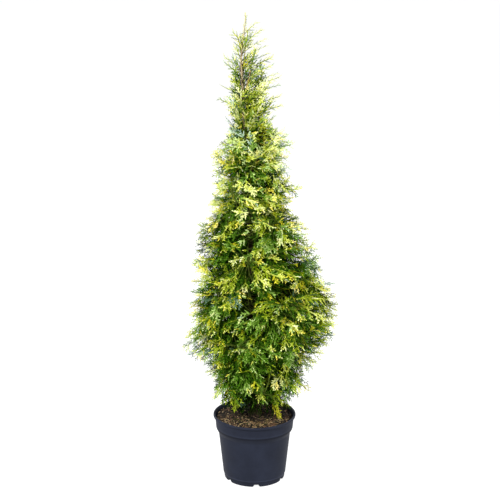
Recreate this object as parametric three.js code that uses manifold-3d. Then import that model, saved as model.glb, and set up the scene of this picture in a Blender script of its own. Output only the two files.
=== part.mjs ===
// A young variegated incense cedar in its nursery pot, as one scene graph of named solids.
// Millimetres, +Z up. The origin is the middle of the flat underside of the pot, and -Y is the front.
//
// The tree is a slim pointed cone: one leaning, slightly wavy trunk runs from the soil to the tip,
// short ascending boughs leave it in tiers, and each bough carries one mass of flat, feathery sprays.
// Near the tip the masses sit on the trunk itself.
import * as THREE from "three";
import { mergeVertices } from "three/addons/utils/BufferGeometryUtils.js";
import Module from "manifold-3d";

// ---------------------------------------------------------------- driving dimensions
const POT_HEIGHT = 180; // underside to the top of the lip
const LIP_RADIUS = 110; // outside of the lip
const LIP_DEPTH = 7; // height of the lip band
const COLLAR_TOP_RADIUS = 105.5; // collar wall just under the lip
const COLLAR_FOOT_RADIUS = 102.5; // collar wall above the shoulder
const COLLAR_FOOT_Z = 141;
const BODY_TOP_RADIUS = 95.8; // body wall under the shoulder
const BODY_TOP_Z = 130;
const BODY_FOOT_RADIUS = 83.5; // body wall above the foot
const BODY_FOOT_Z = 15.5;
const FOOT_RADIUS = 79;
const WALL = 2;
const GUTTER_IN = 46; // the ring-shaped gutter under the base lies between these radii
const GUTTER_OUT = 61;
const GUTTER_DEPTH = 7;
const NOTCHES = 6; // drainage notches in the foot
const NOTCH_WIDTH = 19;
const NOTCH_HEIGHT = 7.2;
const NOTCH_TURN = -86.5; // degrees, azimuth of the first notch: just right of the front
const POT_SIDES = 32;

const SOIL_EDGE_Z = 168.5; // soil at the pot wall
const SOIL_TOP_Z = 173; // soil at the trunk
const GAP = 0.4; // between neighbouring solids

const TRUNK_FOOT_Z = SOIL_TOP_Z + 0.3;
const TRUNK_TIP_Z = 1238;
const TRUNK_FLARE_RADIUS = 16.5; // at the soil
const TRUNK_FOOT_RADIUS = 10.4; // above the flare
const TRUNK_TIP_RADIUS = 1.1;
const FLARE_HEIGHT = 46;
const TRUNK_SIDES = 8;
const TRUNK_RINGS = 20;
// lean of the trunk: sideways places of its centre line by height
const LEAN = [
  { z: TRUNK_FOOT_Z, x: 0, y: 0 },
  { z: 330, x: -5, y: 2 },
  { z: 520, x: -13, y: 4 },
  { z: 720, x: -11, y: -3 },
  { z: 860, x: -17, y: -1 },
  { z: 1000, x: -28, y: 3 },
  { z: 1120, x: -34, y: 1 },
  { z: TRUNK_TIP_Z, x: -23, y: 0 },
];

// reach of the longest sprays from the trunk by height, on the crown's left (-X) and on its right (+X)
const CROWN = [
  { z: 184, left: 104, right: 106 },
  { z: 230, left: 126, right: 140 },
  { z: 290, left: 144, right: 164 },
  { z: 350, left: 190, right: 208 },
  { z: 400, left: 178, right: 224 },
  { z: 470, left: 162, right: 226 },
  { z: 545, left: 154, right: 216 },
  { z: 620, left: 146, right: 184 },
  { z: 700, left: 138, right: 140 },
  { z: 780, left: 108, right: 132 },
  { z: 860, left: 98, right: 112 },
  { z: 940, left: 76, right: 102 },
  { z: 1020, left: 64, right: 94 },
  { z: 1080, left: 50, right: 86 },
  { z: 1140, left: 30, right: 62 },
  { z: 1180, left: 27, right: 40 },
  { z: 1215, left: 8, right: 12 },
];

// Masses of foliage, wound up the trunk from the soil to the tip. Each tier is a run of the winding:
// n masses, out the place of their middles between trunk and crown edge, rise the slope of the sprays,
// shaft the clear space round the trunk, round how far a mass may reach from its middle, full the share
// of the crown's reach that its surface keeps between the spray tips, bough the radius of its bough.
const TIERS = [
  { name: "skirt", n: 5, out: 0.58, rise: 4, shaft: 17, round: 128, full: 0.86, bough: 4.4 },
  { name: "low", n: 5, out: 0.58, rise: 18, shaft: 17, round: 140, full: 0.86, bough: 5.0 },
  { name: "broad", n: 5, out: 0.57, rise: 28, shaft: 16, round: 140, full: 0.86, bough: 4.8 },
  { name: "middle", n: 4, out: 0.56, rise: 36, shaft: 14, round: 128, full: 0.85, bough: 4.2 },
  { name: "high", n: 4, out: 0.54, rise: 44, shaft: 11, round: 112, full: 0.83, bough: 3.4 },
  { name: "upper", n: 3, out: 0.53, rise: 50, shaft: 8, round: 96, full: 0.8, bough: 2.7 },
  { name: "top", n: 3, out: 0.5, rise: 56, shaft: 2.5, round: 84, full: 0.76, bough: 0 },
  { name: "crest", n: 2, out: 0.46, rise: 66, shaft: 1.4, round: 76, full: 0.7, bough: 0 },
];
const WIND_TURN = 137.5; // degrees from one mass to the next
const WIND_START = -80;
const WIND_FOOT_Z = 244; // middle of the lowest mass
const WIND_TIP_Z = 1134; // middle of the highest mass
const MASS_GAP = 6; // open seam between neighbouring masses
const SEAM_SLOPE = 0.75; // the seams climb outwards by this much
const SEAM_VALLEY = 16; // the surface dips towards the seams within this distance
const UNEVEN = 0.1; // unevenness of a mass, as a share of its size
const TIP_SHARE = 0.34; // share of the outer points drawn out into spray tips
const MASS_DETAIL = 2;
const RIM_CLEAR_Z = POT_HEIGHT + 4; // nothing green reaches lower than this
const BOUGH_SIDES = 6;
const BOUGH_RINGS = 4;
const SPAN_LEFT = 203; // furthest tips of the whole plant from the pot's axis
const SPAN_RIGHT = 217;
const SPAN_DEEP = 194;
// the sprays that stand out furthest at the sides and round the leader
const FAR_SPRAYS = [
  { x: -202, y: 8, z: 342 },
  { x: 216, y: -8, z: 386 },
  { x: -174, y: -14, z: 462 },
  { x: 215, y: 18, z: 466 },
  { x: 209, y: 4, z: 541 },
  { x: -157, y: 8, z: 622 },
  { x: 125, y: -6, z: 772 },
  { x: -114, y: 4, z: 858 },
  { x: 103, y: 4, z: 898 },
  { x: -92, y: 3, z: 1020 },
  { x: 66, y: -3, z: 1080 },
  { x: -75, y: 2, z: 1133 },
  { x: 44, y: 4, z: 1129 },
  { x: -56, y: -2, z: 1192 },
  { x: 19, y: -3, z: 1197 },
];

// ---------------------------------------------------------------- helpers
const wasm = await Module();
wasm.setup();

const rad = (d) => (d * Math.PI) / 180;
const v3 = (x, y, z) => new THREE.Vector3(x, y, z);
const bark = new THREE.MeshStandardMaterial({ color: 0x5b4331, roughness: 0.9, metalness: 0 });
const twigBark = new THREE.MeshStandardMaterial({ color: 0x7a5a3c, roughness: 0.85, metalness: 0 });
const plastic = new THREE.MeshStandardMaterial({ color: 0x31353f, roughness: 0.5, metalness: 0 });
const compost = new THREE.MeshStandardMaterial({ color: 0x4a3a2c, roughness: 1, metalness: 0 });
const greens = [0x5f8a2e, 0x86a838, 0xb9c24a].map(
  (color) => new THREE.MeshStandardMaterial({ color, roughness: 0.6, metalness: 0 }),
);

// repeatable random numbers from a seed
function random(seed) {
  let s = seed >>> 0;
  return () => {
    s = (s + 0x6d2b79f5) >>> 0;
    let t = Math.imul(s ^ (s >>> 15), 1 | s);
    t = (t + Math.imul(t ^ (t >>> 7), 61 | t)) ^ t;
    return ((t ^ (t >>> 14)) >>> 0) / 4294967296;
  };
}

// smooth value of a table at height z
function along(table, z, key) {
  if (z <= table[0].z) return table[0][key];
  for (let i = 1; i < table.length; i++) {
    if (z <= table[i].z) {
      const a = table[i - 1],
        b = table[i],
        t = (z - a.z) / (b.z - a.z),
        s = t * t * (3 - 2 * t);
      return a[key] + (b[key] - a[key]) * s;
    }
  }
  return table[table.length - 1][key];
}
const trunkAt = (z) => v3(along(LEAN, z, "x"), along(LEAN, z, "y"), z);
const trunkRadius = (z) => {
  const t = Math.min(1, Math.max(0, (z - TRUNK_FOOT_Z) / (TRUNK_TIP_Z - TRUNK_FOOT_Z)));
  const stem = TRUNK_TIP_RADIUS + (TRUNK_FOOT_RADIUS - TRUNK_TIP_RADIUS) * Math.pow(1 - t, 0.85);
  const h = Math.max(0, 1 - (z - TRUNK_FOOT_Z) / FLARE_HEIGHT);
  return stem + (TRUNK_FLARE_RADIUS - TRUNK_FOOT_RADIUS) * h * h;
};
const crownReach = (z, azimuth) => {
  const right = (1 + Math.cos(azimuth)) / 2;
  return along(CROWN, z, "left") * (1 - right) + along(CROWN, z, "right") * right;
};

// a closed geometry as a solid, and back
function solid(geometry) {
  const g = geometry.clone();
  for (const k of Object.keys(g.attributes)) if (k !== "position") g.deleteAttribute(k);
  const m = mergeVertices(g, 1e-3);
  return new wasm.Manifold(
    new wasm.Mesh({
      numProp: 3,
      vertProperties: new Float32Array(m.attributes.position.array),
      triVerts: new Uint32Array(m.index.array),
    }),
  );
}
function geometryOf(made) {
  const m = made.getMesh();
  const p = new Float32Array(m.numVert * 3);
  for (let i = 0; i < m.numVert; i++)
    for (let k = 0; k < 3; k++) p[i * 3 + k] = m.vertProperties[i * m.numProp + k];
  const g = new THREE.BufferGeometry();
  g.setAttribute("position", new THREE.BufferAttribute(p, 3));
  g.setIndex(new THREE.BufferAttribute(new Uint32Array(m.triVerts), 1));
  g.computeVertexNormals();
  return g;
}

// a limb: rings of a given radius along a centre line, closed with a cap at each end
function limb(centre, radius, sides, rings, level = false) {
  const p = [],
    idx = [];
  const turn = 0.37;
  for (let i = 0; i <= rings; i++) {
    const t = i / rings,
      c = centre(t),
      ahead = centre(Math.min(1, t + 1e-3)).sub(centre(Math.max(0, t - 1e-3))).normalize();
    const along0 = level ? v3(0, 0, 1) : ahead;
    const side = v3(-along0.y, along0.x, 0);
    if (side.lengthSq() < 1e-6) side.set(1, 0, 0);
    side.normalize();
    const up = v3().crossVectors(along0, side).normalize();
    for (let k = 0; k < sides; k++) {
      const a = turn + (2 * Math.PI * k) / sides,
        r = radius(t, a);
      p.push(
        c.x + r * (Math.cos(a) * side.x + Math.sin(a) * up.x),
        c.y + r * (Math.cos(a) * side.y + Math.sin(a) * up.y),
        c.z + r * (Math.cos(a) * side.z + Math.sin(a) * up.z),
      );
    }
  }
  for (let i = 0; i < rings; i++)
    for (let k = 0; k < sides; k++) {
      const a = i * sides + k,
        b = i * sides + ((k + 1) % sides),
        c = a + sides,
        d = b + sides;
      idx.push(a, b, d, a, d, c);
    }
  for (let k = 1; k < sides - 1; k++) {
    idx.push(0, k + 1, k);
    const n = rings * sides;
    idx.push(n, n + k, n + k + 1);
  }
  const g = new THREE.BufferGeometry();
  g.setAttribute("position", new THREE.Float32BufferAttribute(p, 3));
  g.setIndex(idx);
  return g;
}

// ---------------------------------------------------------------- pot
function makePot() {
  const lipUnder = POT_HEIGHT - LIP_DEPTH;
  const profile = [
    [0, 0],
    [GUTTER_IN, 0],
    [GUTTER_IN + 2, GUTTER_DEPTH],
    [GUTTER_OUT, GUTTER_DEPTH],
    [GUTTER_OUT + 2, 0],
    [FOOT_RADIUS, 0],
    [FOOT_RADIUS + 1.8, 2.2],
    [FOOT_RADIUS + 2.8, BODY_FOOT_Z - 1.5],
    [BODY_FOOT_RADIUS, BODY_FOOT_Z],
    [BODY_TOP_RADIUS, BODY_TOP_Z],
    [COLLAR_FOOT_RADIUS, COLLAR_FOOT_Z],
    [COLLAR_TOP_RADIUS, lipUnder],
    [LIP_RADIUS - 0.8, lipUnder + 0.6],
    [LIP_RADIUS, lipUnder + 2.4],
    [LIP_RADIUS - 0.4, POT_HEIGHT - 1.4],
    [LIP_RADIUS - 2.2, POT_HEIGHT],
    [COLLAR_TOP_RADIUS + 0.4, POT_HEIGHT],
    [COLLAR_TOP_RADIUS - WALL, POT_HEIGHT - 3],
    [COLLAR_FOOT_RADIUS - WALL, COLLAR_FOOT_Z + 0.6],
    [BODY_TOP_RADIUS - WALL, BODY_TOP_Z + 0.6],
    [BODY_FOOT_RADIUS - WALL - 0.3, BODY_FOOT_Z - 1],
    [BODY_FOOT_RADIUS - 6, GUTTER_DEPTH + 2.2],
    [0, GUTTER_DEPTH + 2.2],
  ].map(([r, z]) => new THREE.Vector2(r, z));
  const lathe = new THREE.LatheGeometry(profile, POT_SIDES);
  lathe.rotateX(Math.PI / 2);
  let pot = solid(lathe);
  for (let i = 0; i < NOTCHES; i++) {
    const a = rad(NOTCH_TURN + (360 / NOTCHES) * i);
    const shape = new THREE.Shape();
    shape.moveTo(-NOTCH_WIDTH / 2, -3);
    shape.lineTo(NOTCH_WIDTH / 2, -3);
    shape.lineTo(NOTCH_WIDTH / 2 - 1, 0);
    shape.lineTo(NOTCH_WIDTH / 2 - 5, NOTCH_HEIGHT - 0.4);
    shape.lineTo(-NOTCH_WIDTH / 2 + 5, NOTCH_HEIGHT - 0.4);
    shape.lineTo(-NOTCH_WIDTH / 2 + 1, 0);
    shape.closePath();
    const bar = new THREE.ExtrudeGeometry(shape, { depth: 44, bevelEnabled: false });
    bar.rotateX(Math.PI / 2); // shape's height to +Z, its length to -Y
    bar.rotateZ(Math.PI / 2); // length to +X
    bar.translate(GUTTER_OUT - 5, 0, 0);
    bar.rotateZ(a);
    pot = pot.subtract(solid(bar));
  }
  return new THREE.Mesh(geometryOf(pot), plastic);
}

// ---------------------------------------------------------------- soil
function makeSoil() {
  const sides = POT_SIDES;
  const profile = [
    [0, GUTTER_DEPTH + 2.2 + GAP],
    [BODY_FOOT_RADIUS - 6.8, GUTTER_DEPTH + 2.2 + GAP],
    [BODY_FOOT_RADIUS - WALL - 1.1, BODY_FOOT_Z - 0.4],
    [BODY_TOP_RADIUS - WALL - 0.8, BODY_TOP_Z + 1.2],
    [COLLAR_FOOT_RADIUS - WALL - 0.8, COLLAR_FOOT_Z + 1.2],
    [COLLAR_TOP_RADIUS - WALL - 1.1, SOIL_EDGE_Z],
    [84, SOIL_EDGE_Z + 1.2],
    [60, SOIL_EDGE_Z + 3.2],
    [36, SOIL_TOP_Z - 0.2],
    [20, SOIL_TOP_Z],
    [0, SOIL_TOP_Z],
  ].map(([r, z]) => new THREE.Vector2(r, z));
  const lathe = new THREE.LatheGeometry(profile, sides);
  lathe.rotateX(Math.PI / 2);
  const merged = solid(lathe);
  const g = geometryOf(merged);
  const p = g.attributes.position;
  for (let i = 0; i < p.count; i++) {
    const x = p.getX(i),
      y = p.getY(i),
      r = Math.hypot(x, y);
    if (p.getZ(i) > SOIL_EDGE_Z - 0.5 && r > 30)
      p.setZ(i, p.getZ(i) + 1.1 * Math.sin(x * 0.071 + 1.3) * Math.cos(y * 0.083) - 0.4);
  }
  g.computeVertexNormals();
  return new THREE.Mesh(g, compost);
}

// ---------------------------------------------------------------- trunk
const trunkLimb = (extra) =>
  limb(
    (t) => trunkAt(TRUNK_FOOT_Z + (TRUNK_TIP_Z - TRUNK_FOOT_Z) * (t < 0.12 ? t * 0.55 : 0.066 + (t - 0.12) * (0.934 / 0.88))),
    (t, a) => {
      const z = TRUNK_FOOT_Z + (TRUNK_TIP_Z - TRUNK_FOOT_Z) * (t < 0.12 ? t * 0.55 : 0.066 + (t - 0.12) * (0.934 / 0.88));
      const flare = Math.max(0, 1 - (z - TRUNK_FOOT_Z) / FLARE_HEIGHT);
      return trunkRadius(z) * (1 + 0.12 * flare * Math.cos(3 * a + 0.6)) + extra;
    },
    TRUNK_SIDES,
    TRUNK_RINGS,
    true,
  );

// ---------------------------------------------------------------- masses of foliage
const seeds = [];
const count = TIERS.reduce((n, tier) => n + tier.n, 0);
TIERS.forEach((tier) => {
  for (let i = 0; i < tier.n; i++) {
    const k = seeds.length;
    const rnd = random(1000 + k * 37);
    const azimuth = rad(WIND_START + WIND_TURN * k + (rnd() - 0.5) * 14);
    const z = WIND_FOOT_Z + ((WIND_TIP_Z - WIND_FOOT_Z) * k) / (count - 1) + (rnd() - 0.5) * 10;
    const reach = crownReach(z, azimuth);
    const dir = v3(Math.cos(azimuth), Math.sin(azimuth), 0);
    const lift = rad(tier.rise);
    seeds.push({
      name: tier.name + "_" + (i + 1),
      tier,
      azimuth,
      reach,
      dir,
      centre: trunkAt(z).addScaledVector(dir, reach * tier.out),
      rnd,
      slope: dir.clone().multiplyScalar(Math.cos(lift)).add(v3(0, 0, Math.sin(lift))),
    });
  }
});

// flat cuts that bound a mass: half way to each neighbour, climbing outwards, clear of the trunk and the pot
function cutsOf(s) {
  const cuts = [];
  for (const o of seeds) {
    if (o === s) continue;
    const d = o.centre.clone().sub(s.centre);
    if (d.length() > 460) continue;
    const n = d.clone().normalize();
    const outward = s.dir.clone().add(o.dir).multiplyScalar(0.5);
    n.addScaledVector(outward, -SEAM_SLOPE * n.z).normalize();
    cuts.push({ n, h: Math.max(5, d.dot(n) * 0.5 - MASS_GAP / 2), seam: true });
  }
  const shaft = trunkRadius(s.centre.z - 90) + s.tier.shaft;
  cuts.push({ n: s.dir.clone().negate(), h: Math.max(5, s.reach * s.tier.out - shaft) });
  cuts.push({ n: v3(0, 0, -1), h: s.centre.z - RIM_CLEAR_Z });
  cuts.push({ n: v3(0, 0, 1), h: TRUNK_TIP_Z - 24 - s.centre.z });
  cuts.push({ n: v3(1, 0, 0), h: SPAN_RIGHT - s.centre.x });
  cuts.push({ n: v3(-1, 0, 0), h: SPAN_LEFT + s.centre.x });
  cuts.push({ n: v3(0, 1, 0), h: SPAN_DEEP - s.centre.y });
  cuts.push({ n: v3(0, -1, 0), h: SPAN_DEEP + s.centre.y });
  return cuts;
}

// how far a ray from a mass's middle runs before it leaves the crown
function toCrown(centre, ray, share, most) {
  const at = centre.clone();
  for (let t = 0; t < most; t += 3) {
    at.copy(centre).addScaledVector(ray, t);
    const axis = trunkAt(at.z);
    const x = at.x - axis.x,
      y = at.y - axis.y;
    if (at.z > TRUNK_TIP_Z - 18 || Math.hypot(x, y) > crownReach(at.z, Math.atan2(y, x)) * share) return Math.max(8, t);
  }
  return most;
}

for (const s of seeds) s.cuts = cutsOf(s);

function massGeometry(s) {
  const rnd = s.rnd;
  const cuts = s.cuts;
  const lumps = [];
  for (let k = 0; k < 8; k++) {
    const u = v3(rnd() * 2 - 1, rnd() * 2 - 1, rnd() * 2 - 1).normalize();
    lumps.push({ u, a: (rnd() - 0.5) * 2 * UNEVEN });
  }
  const ball = new THREE.IcosahedronGeometry(1, MASS_DETAIL);
  for (const k of ["normal", "uv"]) ball.deleteAttribute(k);
  const g = mergeVertices(ball, 1e-4);
  g.rotateZ(rnd() * 6);
  g.rotateX(rnd() * 6);
  const p = g.attributes.position;
  for (let i = 0; i < p.count; i++) {
    const ray = v3(p.getX(i), p.getY(i), p.getZ(i)).normalize();
    let edge = Infinity,
      seam = Infinity;
    for (const q of cuts) {
      const w = ray.dot(q.n);
      if (w <= 1e-4) continue;
      edge = Math.min(edge, q.h / w);
      if (q.seam) seam = Math.min(seam, q.h / w);
    }
    // further out along the slope of the sprays than across it
    const along1 = Math.abs(ray.dot(s.slope));
    const free = s.tier.round * (0.72 + 0.34 * along1 * along1);
    const crown = toCrown(s.centre, ray, s.tier.full + (rnd() - 0.5) * 0.08, free + 30);
    let r = Math.min(free, crown);
    for (const l of lumps) r *= 1 + l.a * Math.pow(Math.max(0, ray.dot(l.u)), 3);
    // dip into the seam
    if (r > seam - SEAM_VALLEY) r = Math.min(r, seam) - SEAM_VALLEY * 0.4 * rnd();
    // spray tips on the outer side, drawn out to the crown's full reach
    const outer = ray.dot(s.slope) > -0.05 || (ray.dot(s.dir) > 0.25 && ray.z > -0.75);
    if (outer && rnd() < TIP_SHARE) r = toCrown(s.centre, ray, 0.97 + 0.07 * rnd(), r + 34);
    r = Math.max(4, Math.min(r, edge));
    p.setXYZ(i, s.centre.x + ray.x * r, s.centre.y + ray.y * r, s.centre.z + ray.z * r);
  }
  // the furthest sprays: the nearest point of the mass is drawn out to each one inside its cuts
  for (const f of FAR_SPRAYS) {
    const to = v3(f.x, f.y, f.z).sub(s.centre);
    if (!cuts.every((q) => to.dot(q.n) <= q.h)) continue;
    const ray = to.clone().normalize();
    let best = 0,
      near = -1;
    for (let i = 0; i < p.count; i++) {
      const q = v3(p.getX(i), p.getY(i), p.getZ(i)).sub(s.centre).normalize().dot(ray);
      if (q > near) {
        near = q;
        best = i;
      }
    }
    p.setXYZ(best, f.x, f.y, f.z);
  }
  g.computeVertexNormals();
  return g;
}

// ---------------------------------------------------------------- assembly
const plant = new THREE.Group();
const add = (name, mesh) => {
  mesh.name = name;
  plant.add(mesh);
  return mesh;
};

add("pot", makePot());
add("soil", makeSoil());
const trunk = solid(trunkLimb(0));
const trunkRoom = solid(trunkLimb(GAP));
add("trunk", new THREE.Mesh(geometryOf(trunk), bark));

const masses = seeds.map((s) => ({ s, made: solid(massGeometry(s)).subtract(trunkRoom) }));
const limbs = [];
masses.forEach(({ s, made }, i) => {
  if (!s.tier.bough) return;
  // the bough leaves the trunk below its mass and curves up into it
  const drop = (s.reach * s.tier.out * 0.62) * (0.8 + 0.35 * s.rnd());
  const startZ = Math.max(TRUNK_FOOT_Z + 22 + 7 * (i % 5), s.centre.z - drop - 8 * (i % 3));
  const a = trunkAt(startZ),
    c = s.centre.clone().addScaledVector(s.dir, -s.reach * 0.06),
    b = a.clone().lerp(c, 0.5).addScaledVector(s.dir, 6).add(v3(0, 0, -9));
  const curve = new THREE.QuadraticBezierCurve3(a, b, c);
  const r0 = s.tier.bough,
    r1 = r0 * 0.45;
  const room = (extra) =>
    solid(limb((t) => curve.getPoint(t), (t) => r0 + (r1 - r0) * Math.sqrt(t) + extra, BOUGH_SIDES, BOUGH_RINGS));
  limbs.push({ i, s, whole: room(0), fat: room(GAP), r0 });
});

// each mass is cut round the boughs of the others, and each bough ends where its own mass begins
const largest = (made) => made.decompose().sort((a, b) => b.volume() - a.volume())[0];
for (const l of limbs)
  masses.forEach((m, j) => {
    if (j === l.i) return;
    if (m.made.intersect(l.fat).volume() > 0) m.made = largest(m.made.subtract(l.fat));
  });
const grown = (m) => {
  const k = 1 + 1.2 / m.s.reach + 0.012;
  const c = m.s.centre;
  return m.made.translate([-c.x, -c.y, -c.z]).scale([k, k, k]).translate([c.x, c.y, c.z]);
};
const placed = [];
for (const l of limbs) {
  let made = l.whole.subtract(trunkRoom).subtract(grown(masses[l.i]));
  for (const o of placed) made = made.subtract(o.fat);
  made = largest(made);
  placed.push({ ...l, made, fat: l.fat });
}
for (const l of placed) add("bough_" + l.s.name, new THREE.Mesh(geometryOf(l.made), twigBark));
masses.forEach((m, i) => add("foliage_" + m.s.name, new THREE.Mesh(geometryOf(largest(m.made)), greens[i % 3])));

export default plant;
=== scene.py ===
import math

import bpy
import numpy as np
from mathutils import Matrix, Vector


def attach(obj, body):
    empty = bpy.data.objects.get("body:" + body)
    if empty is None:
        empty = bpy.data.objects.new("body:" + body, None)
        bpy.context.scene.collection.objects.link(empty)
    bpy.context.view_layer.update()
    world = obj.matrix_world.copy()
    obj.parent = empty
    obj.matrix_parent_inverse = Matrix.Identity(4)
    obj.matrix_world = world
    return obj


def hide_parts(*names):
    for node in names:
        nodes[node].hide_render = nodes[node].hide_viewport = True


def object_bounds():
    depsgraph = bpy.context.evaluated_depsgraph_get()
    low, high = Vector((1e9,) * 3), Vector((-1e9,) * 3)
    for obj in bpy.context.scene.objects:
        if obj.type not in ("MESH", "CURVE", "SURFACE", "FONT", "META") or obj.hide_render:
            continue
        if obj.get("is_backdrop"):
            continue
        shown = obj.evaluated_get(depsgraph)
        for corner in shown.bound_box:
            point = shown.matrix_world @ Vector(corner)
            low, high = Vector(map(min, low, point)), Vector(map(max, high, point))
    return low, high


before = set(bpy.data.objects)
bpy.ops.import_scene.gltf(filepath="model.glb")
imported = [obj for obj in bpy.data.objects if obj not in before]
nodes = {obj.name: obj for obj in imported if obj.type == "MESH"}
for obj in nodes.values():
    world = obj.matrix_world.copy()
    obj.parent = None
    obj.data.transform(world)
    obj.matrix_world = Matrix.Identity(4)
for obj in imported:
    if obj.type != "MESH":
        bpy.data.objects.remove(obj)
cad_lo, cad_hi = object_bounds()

rng = np.random.default_rng(90417)

# ------------------------------------------------------------------ sizes of the plant, metres
TRUNK_FOOT, TRUNK_TIP = 0.1733, 1.238
LEAN = [
    (0.1733, 0.000, 0.000),
    (0.330, -0.005, 0.002),
    (0.520, -0.013, 0.004),
    (0.720, -0.011, -0.003),
    (0.860, -0.017, -0.001),
    (1.000, -0.028, 0.003),
    (1.120, -0.034, 0.001),
    (1.238, -0.023, 0.000),
]
CROWN = [
    (0.184, 0.104, 0.106),
    (0.230, 0.126, 0.140),
    (0.290, 0.144, 0.164),
    (0.350, 0.190, 0.208),
    (0.400, 0.178, 0.224),
    (0.470, 0.162, 0.226),
    (0.545, 0.154, 0.216),
    (0.620, 0.146, 0.184),
    (0.700, 0.138, 0.140),
    (0.780, 0.108, 0.132),
    (0.860, 0.098, 0.112),
    (0.940, 0.076, 0.102),
    (1.020, 0.064, 0.094),
    (1.080, 0.050, 0.086),
    (1.140, 0.030, 0.062),
    (1.180, 0.027, 0.040),
    (1.215, 0.008, 0.012),
]
TIERS = ["skirt", "low", "broad", "middle", "high", "upper", "top", "crest"]

CAM_AT = np.array([-0.012, -3.48, 1.586])
CAM_PITCH = 15.35
CAM_F = 1394.0  # focal length in pixels of a 500 pixel picture


def table(rows, z, k):
    z = np.asarray(z, float)
    zs = np.array([r[0] for r in rows])
    vs = np.array([r[k] for r in rows])
    i = np.clip(np.searchsorted(zs, z) - 1, 0, len(zs) - 2)
    t = np.clip((z - zs[i]) / (zs[i + 1] - zs[i]), 0, 1)
    t = t * t * (3 - 2 * t)
    return vs[i] + (vs[i + 1] - vs[i]) * t


def trunk_at(z):
    z = np.asarray(z, float)
    return np.stack([table(LEAN, z, 1), table(LEAN, z, 2), z], -1)


def trunk_radius(z):
    t = np.clip((np.asarray(z, float) - TRUNK_FOOT) / (TRUNK_TIP - TRUNK_FOOT), 0, 1)
    stem = (0.0011 + (0.0104 - 0.0011) * (1 - t) ** 0.85) * np.interp(t, [0.84, 1.0], [1.0, 0.62])
    h = np.clip(1 - (np.asarray(z, float) - TRUNK_FOOT) / 0.046, 0, 1)
    return stem + (0.0165 - 0.0104) * h * h


def crown_reach(z, azimuth):
    right = (1 + np.cos(azimuth)) / 2
    return table(CROWN, z, 1) * (1 - right) + table(CROWN, z, 2) * right


def unit(v):
    v = np.asarray(v, float)
    return v / np.maximum(np.linalg.norm(v, axis=-1, keepdims=True), 1e-12)


def smooth(points, n):
    """n points of a Catmull-Rom line through the given ones, evenly spaced."""
    p = np.asarray(points, float)
    p = np.vstack([2 * p[0] - p[1], p, 2 * p[-1] - p[-2]])
    out = []
    for i in range(1, len(p) - 2):
        t = np.linspace(0, 1, 24, endpoint=False)[:, None]
        a, b, c, d = p[i - 1], p[i], p[i + 1], p[i + 2]
        out.append(
            0.5
            * (
                2 * b
                + (c - a) * t
                + (2 * a - 5 * b + 4 * c - d) * t**2
                + (3 * b - a - 3 * c + d) * t**3
            )
        )
    q = np.vstack(out + [p[-2][None]])
    s = np.r_[0, np.cumsum(np.linalg.norm(np.diff(q, axis=0), axis=1))]
    want = np.linspace(0, s[-1], n)
    return np.stack([np.interp(want, s, q[:, k]) for k in range(3)], -1)


def bezier(a, b, c, d, n):
    t = np.linspace(0, 1, n)[:, None]
    return (
        a * (1 - t) ** 3
        + 3 * b * t * (1 - t) ** 2
        + 3 * c * t * t * (1 - t)
        + d * t**3
    )


def linear(rgb):
    """sRGB 0..255 to scene-linear."""
    c = np.array(rgb, float) / 255
    return np.where(c <= 0.04045, c / 12.92, ((c + 0.055) / 1.055) ** 2.4).tolist()


def noise2(seed, rows, cols, wrap=True):
    """Smooth random field on a grid of cells; read it with read2."""
    g = np.random.default_rng(seed).random((rows, cols))
    return (g, wrap)


def read2(field, u, v):
    """u in rows (not wrapped), v in columns (wrapped)."""
    g, wrap = field
    r, c = g.shape
    u = np.clip(u, 0, r - 1.001)
    i = np.floor(u).astype(int)
    fu = u - i
    j = np.floor(v).astype(int)
    fv = v - j
    fu = fu * fu * (3 - 2 * fu)
    fv = fv * fv * (3 - 2 * fv)
    i1 = np.minimum(i + 1, r - 1)
    a = g[i, j % c] * (1 - fv) + g[i, (j + 1) % c] * fv
    b = g[i1, j % c] * (1 - fv) + g[i1, (j + 1) % c] * fv
    return a * (1 - fu) + b * fu


# ------------------------------------------------------------------ materials
def principled(name, rgb, rough=0.6, spec=0.4):
    m = bpy.data.materials.new(name)
    m.use_nodes = True
    b = m.node_tree.nodes["Principled BSDF"]
    b.inputs["Base Color"].default_value = (*linear(rgb), 1)
    b.inputs["Roughness"].default_value = rough
    b.inputs["Specular IOR Level"].default_value = spec
    return m


# shades of the sprays, sRGB, from the shaded inside of the crown to its tips: lit and shaded copies of each family,
# painted shade on the low levels and painted light on the high ones, along with the real darker tone of the old inner
# foliage
SHADES = {
    "green": [(15, 31, 3), (34, 64, 6), (68, 104, 19), (114, 145, 60), (168, 188, 118)],
    "blue": [(11, 25, 15), (27, 48, 32), (62, 88, 66), (108, 134, 110), (156, 176, 152)],
    "lime": [(27, 42, 1), (71, 90, 4), (128, 145, 26), (182, 191, 81), (210, 217, 143)],
    "gold": [(54, 60, 1), (106, 108, 6), (166, 164, 30), (208, 198, 74), (224, 214, 128)],
    "cream": [(98, 106, 42), (148, 154, 86), (192, 196, 130), (216, 218, 164), (232, 232, 196)],
}
FAMILIES = list(SHADES)
leaf_mats, leaf_index = [], {}
for f, family in enumerate(FAMILIES):
    for k, rgb in enumerate(SHADES[family]):
        leaf_index[(f, k)] = len(leaf_mats)
        leaf_mats.append(principled(f"spray_{family}_{k}", rgb, 0.65, (0.0, 0.0, 0.04, 0.08, 0.10)[k]))
twig_mats = [
    principled("twig_brown", (52, 38, 24), 0.8, 0.1),
    principled("twig_russet", (96, 76, 44), 0.75, 0.2),
    principled("twig_olive", (72, 86, 26), 0.65, 0.1),
    principled("twig_straw", (176, 156, 96), 0.65, 0.3),
]


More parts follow.
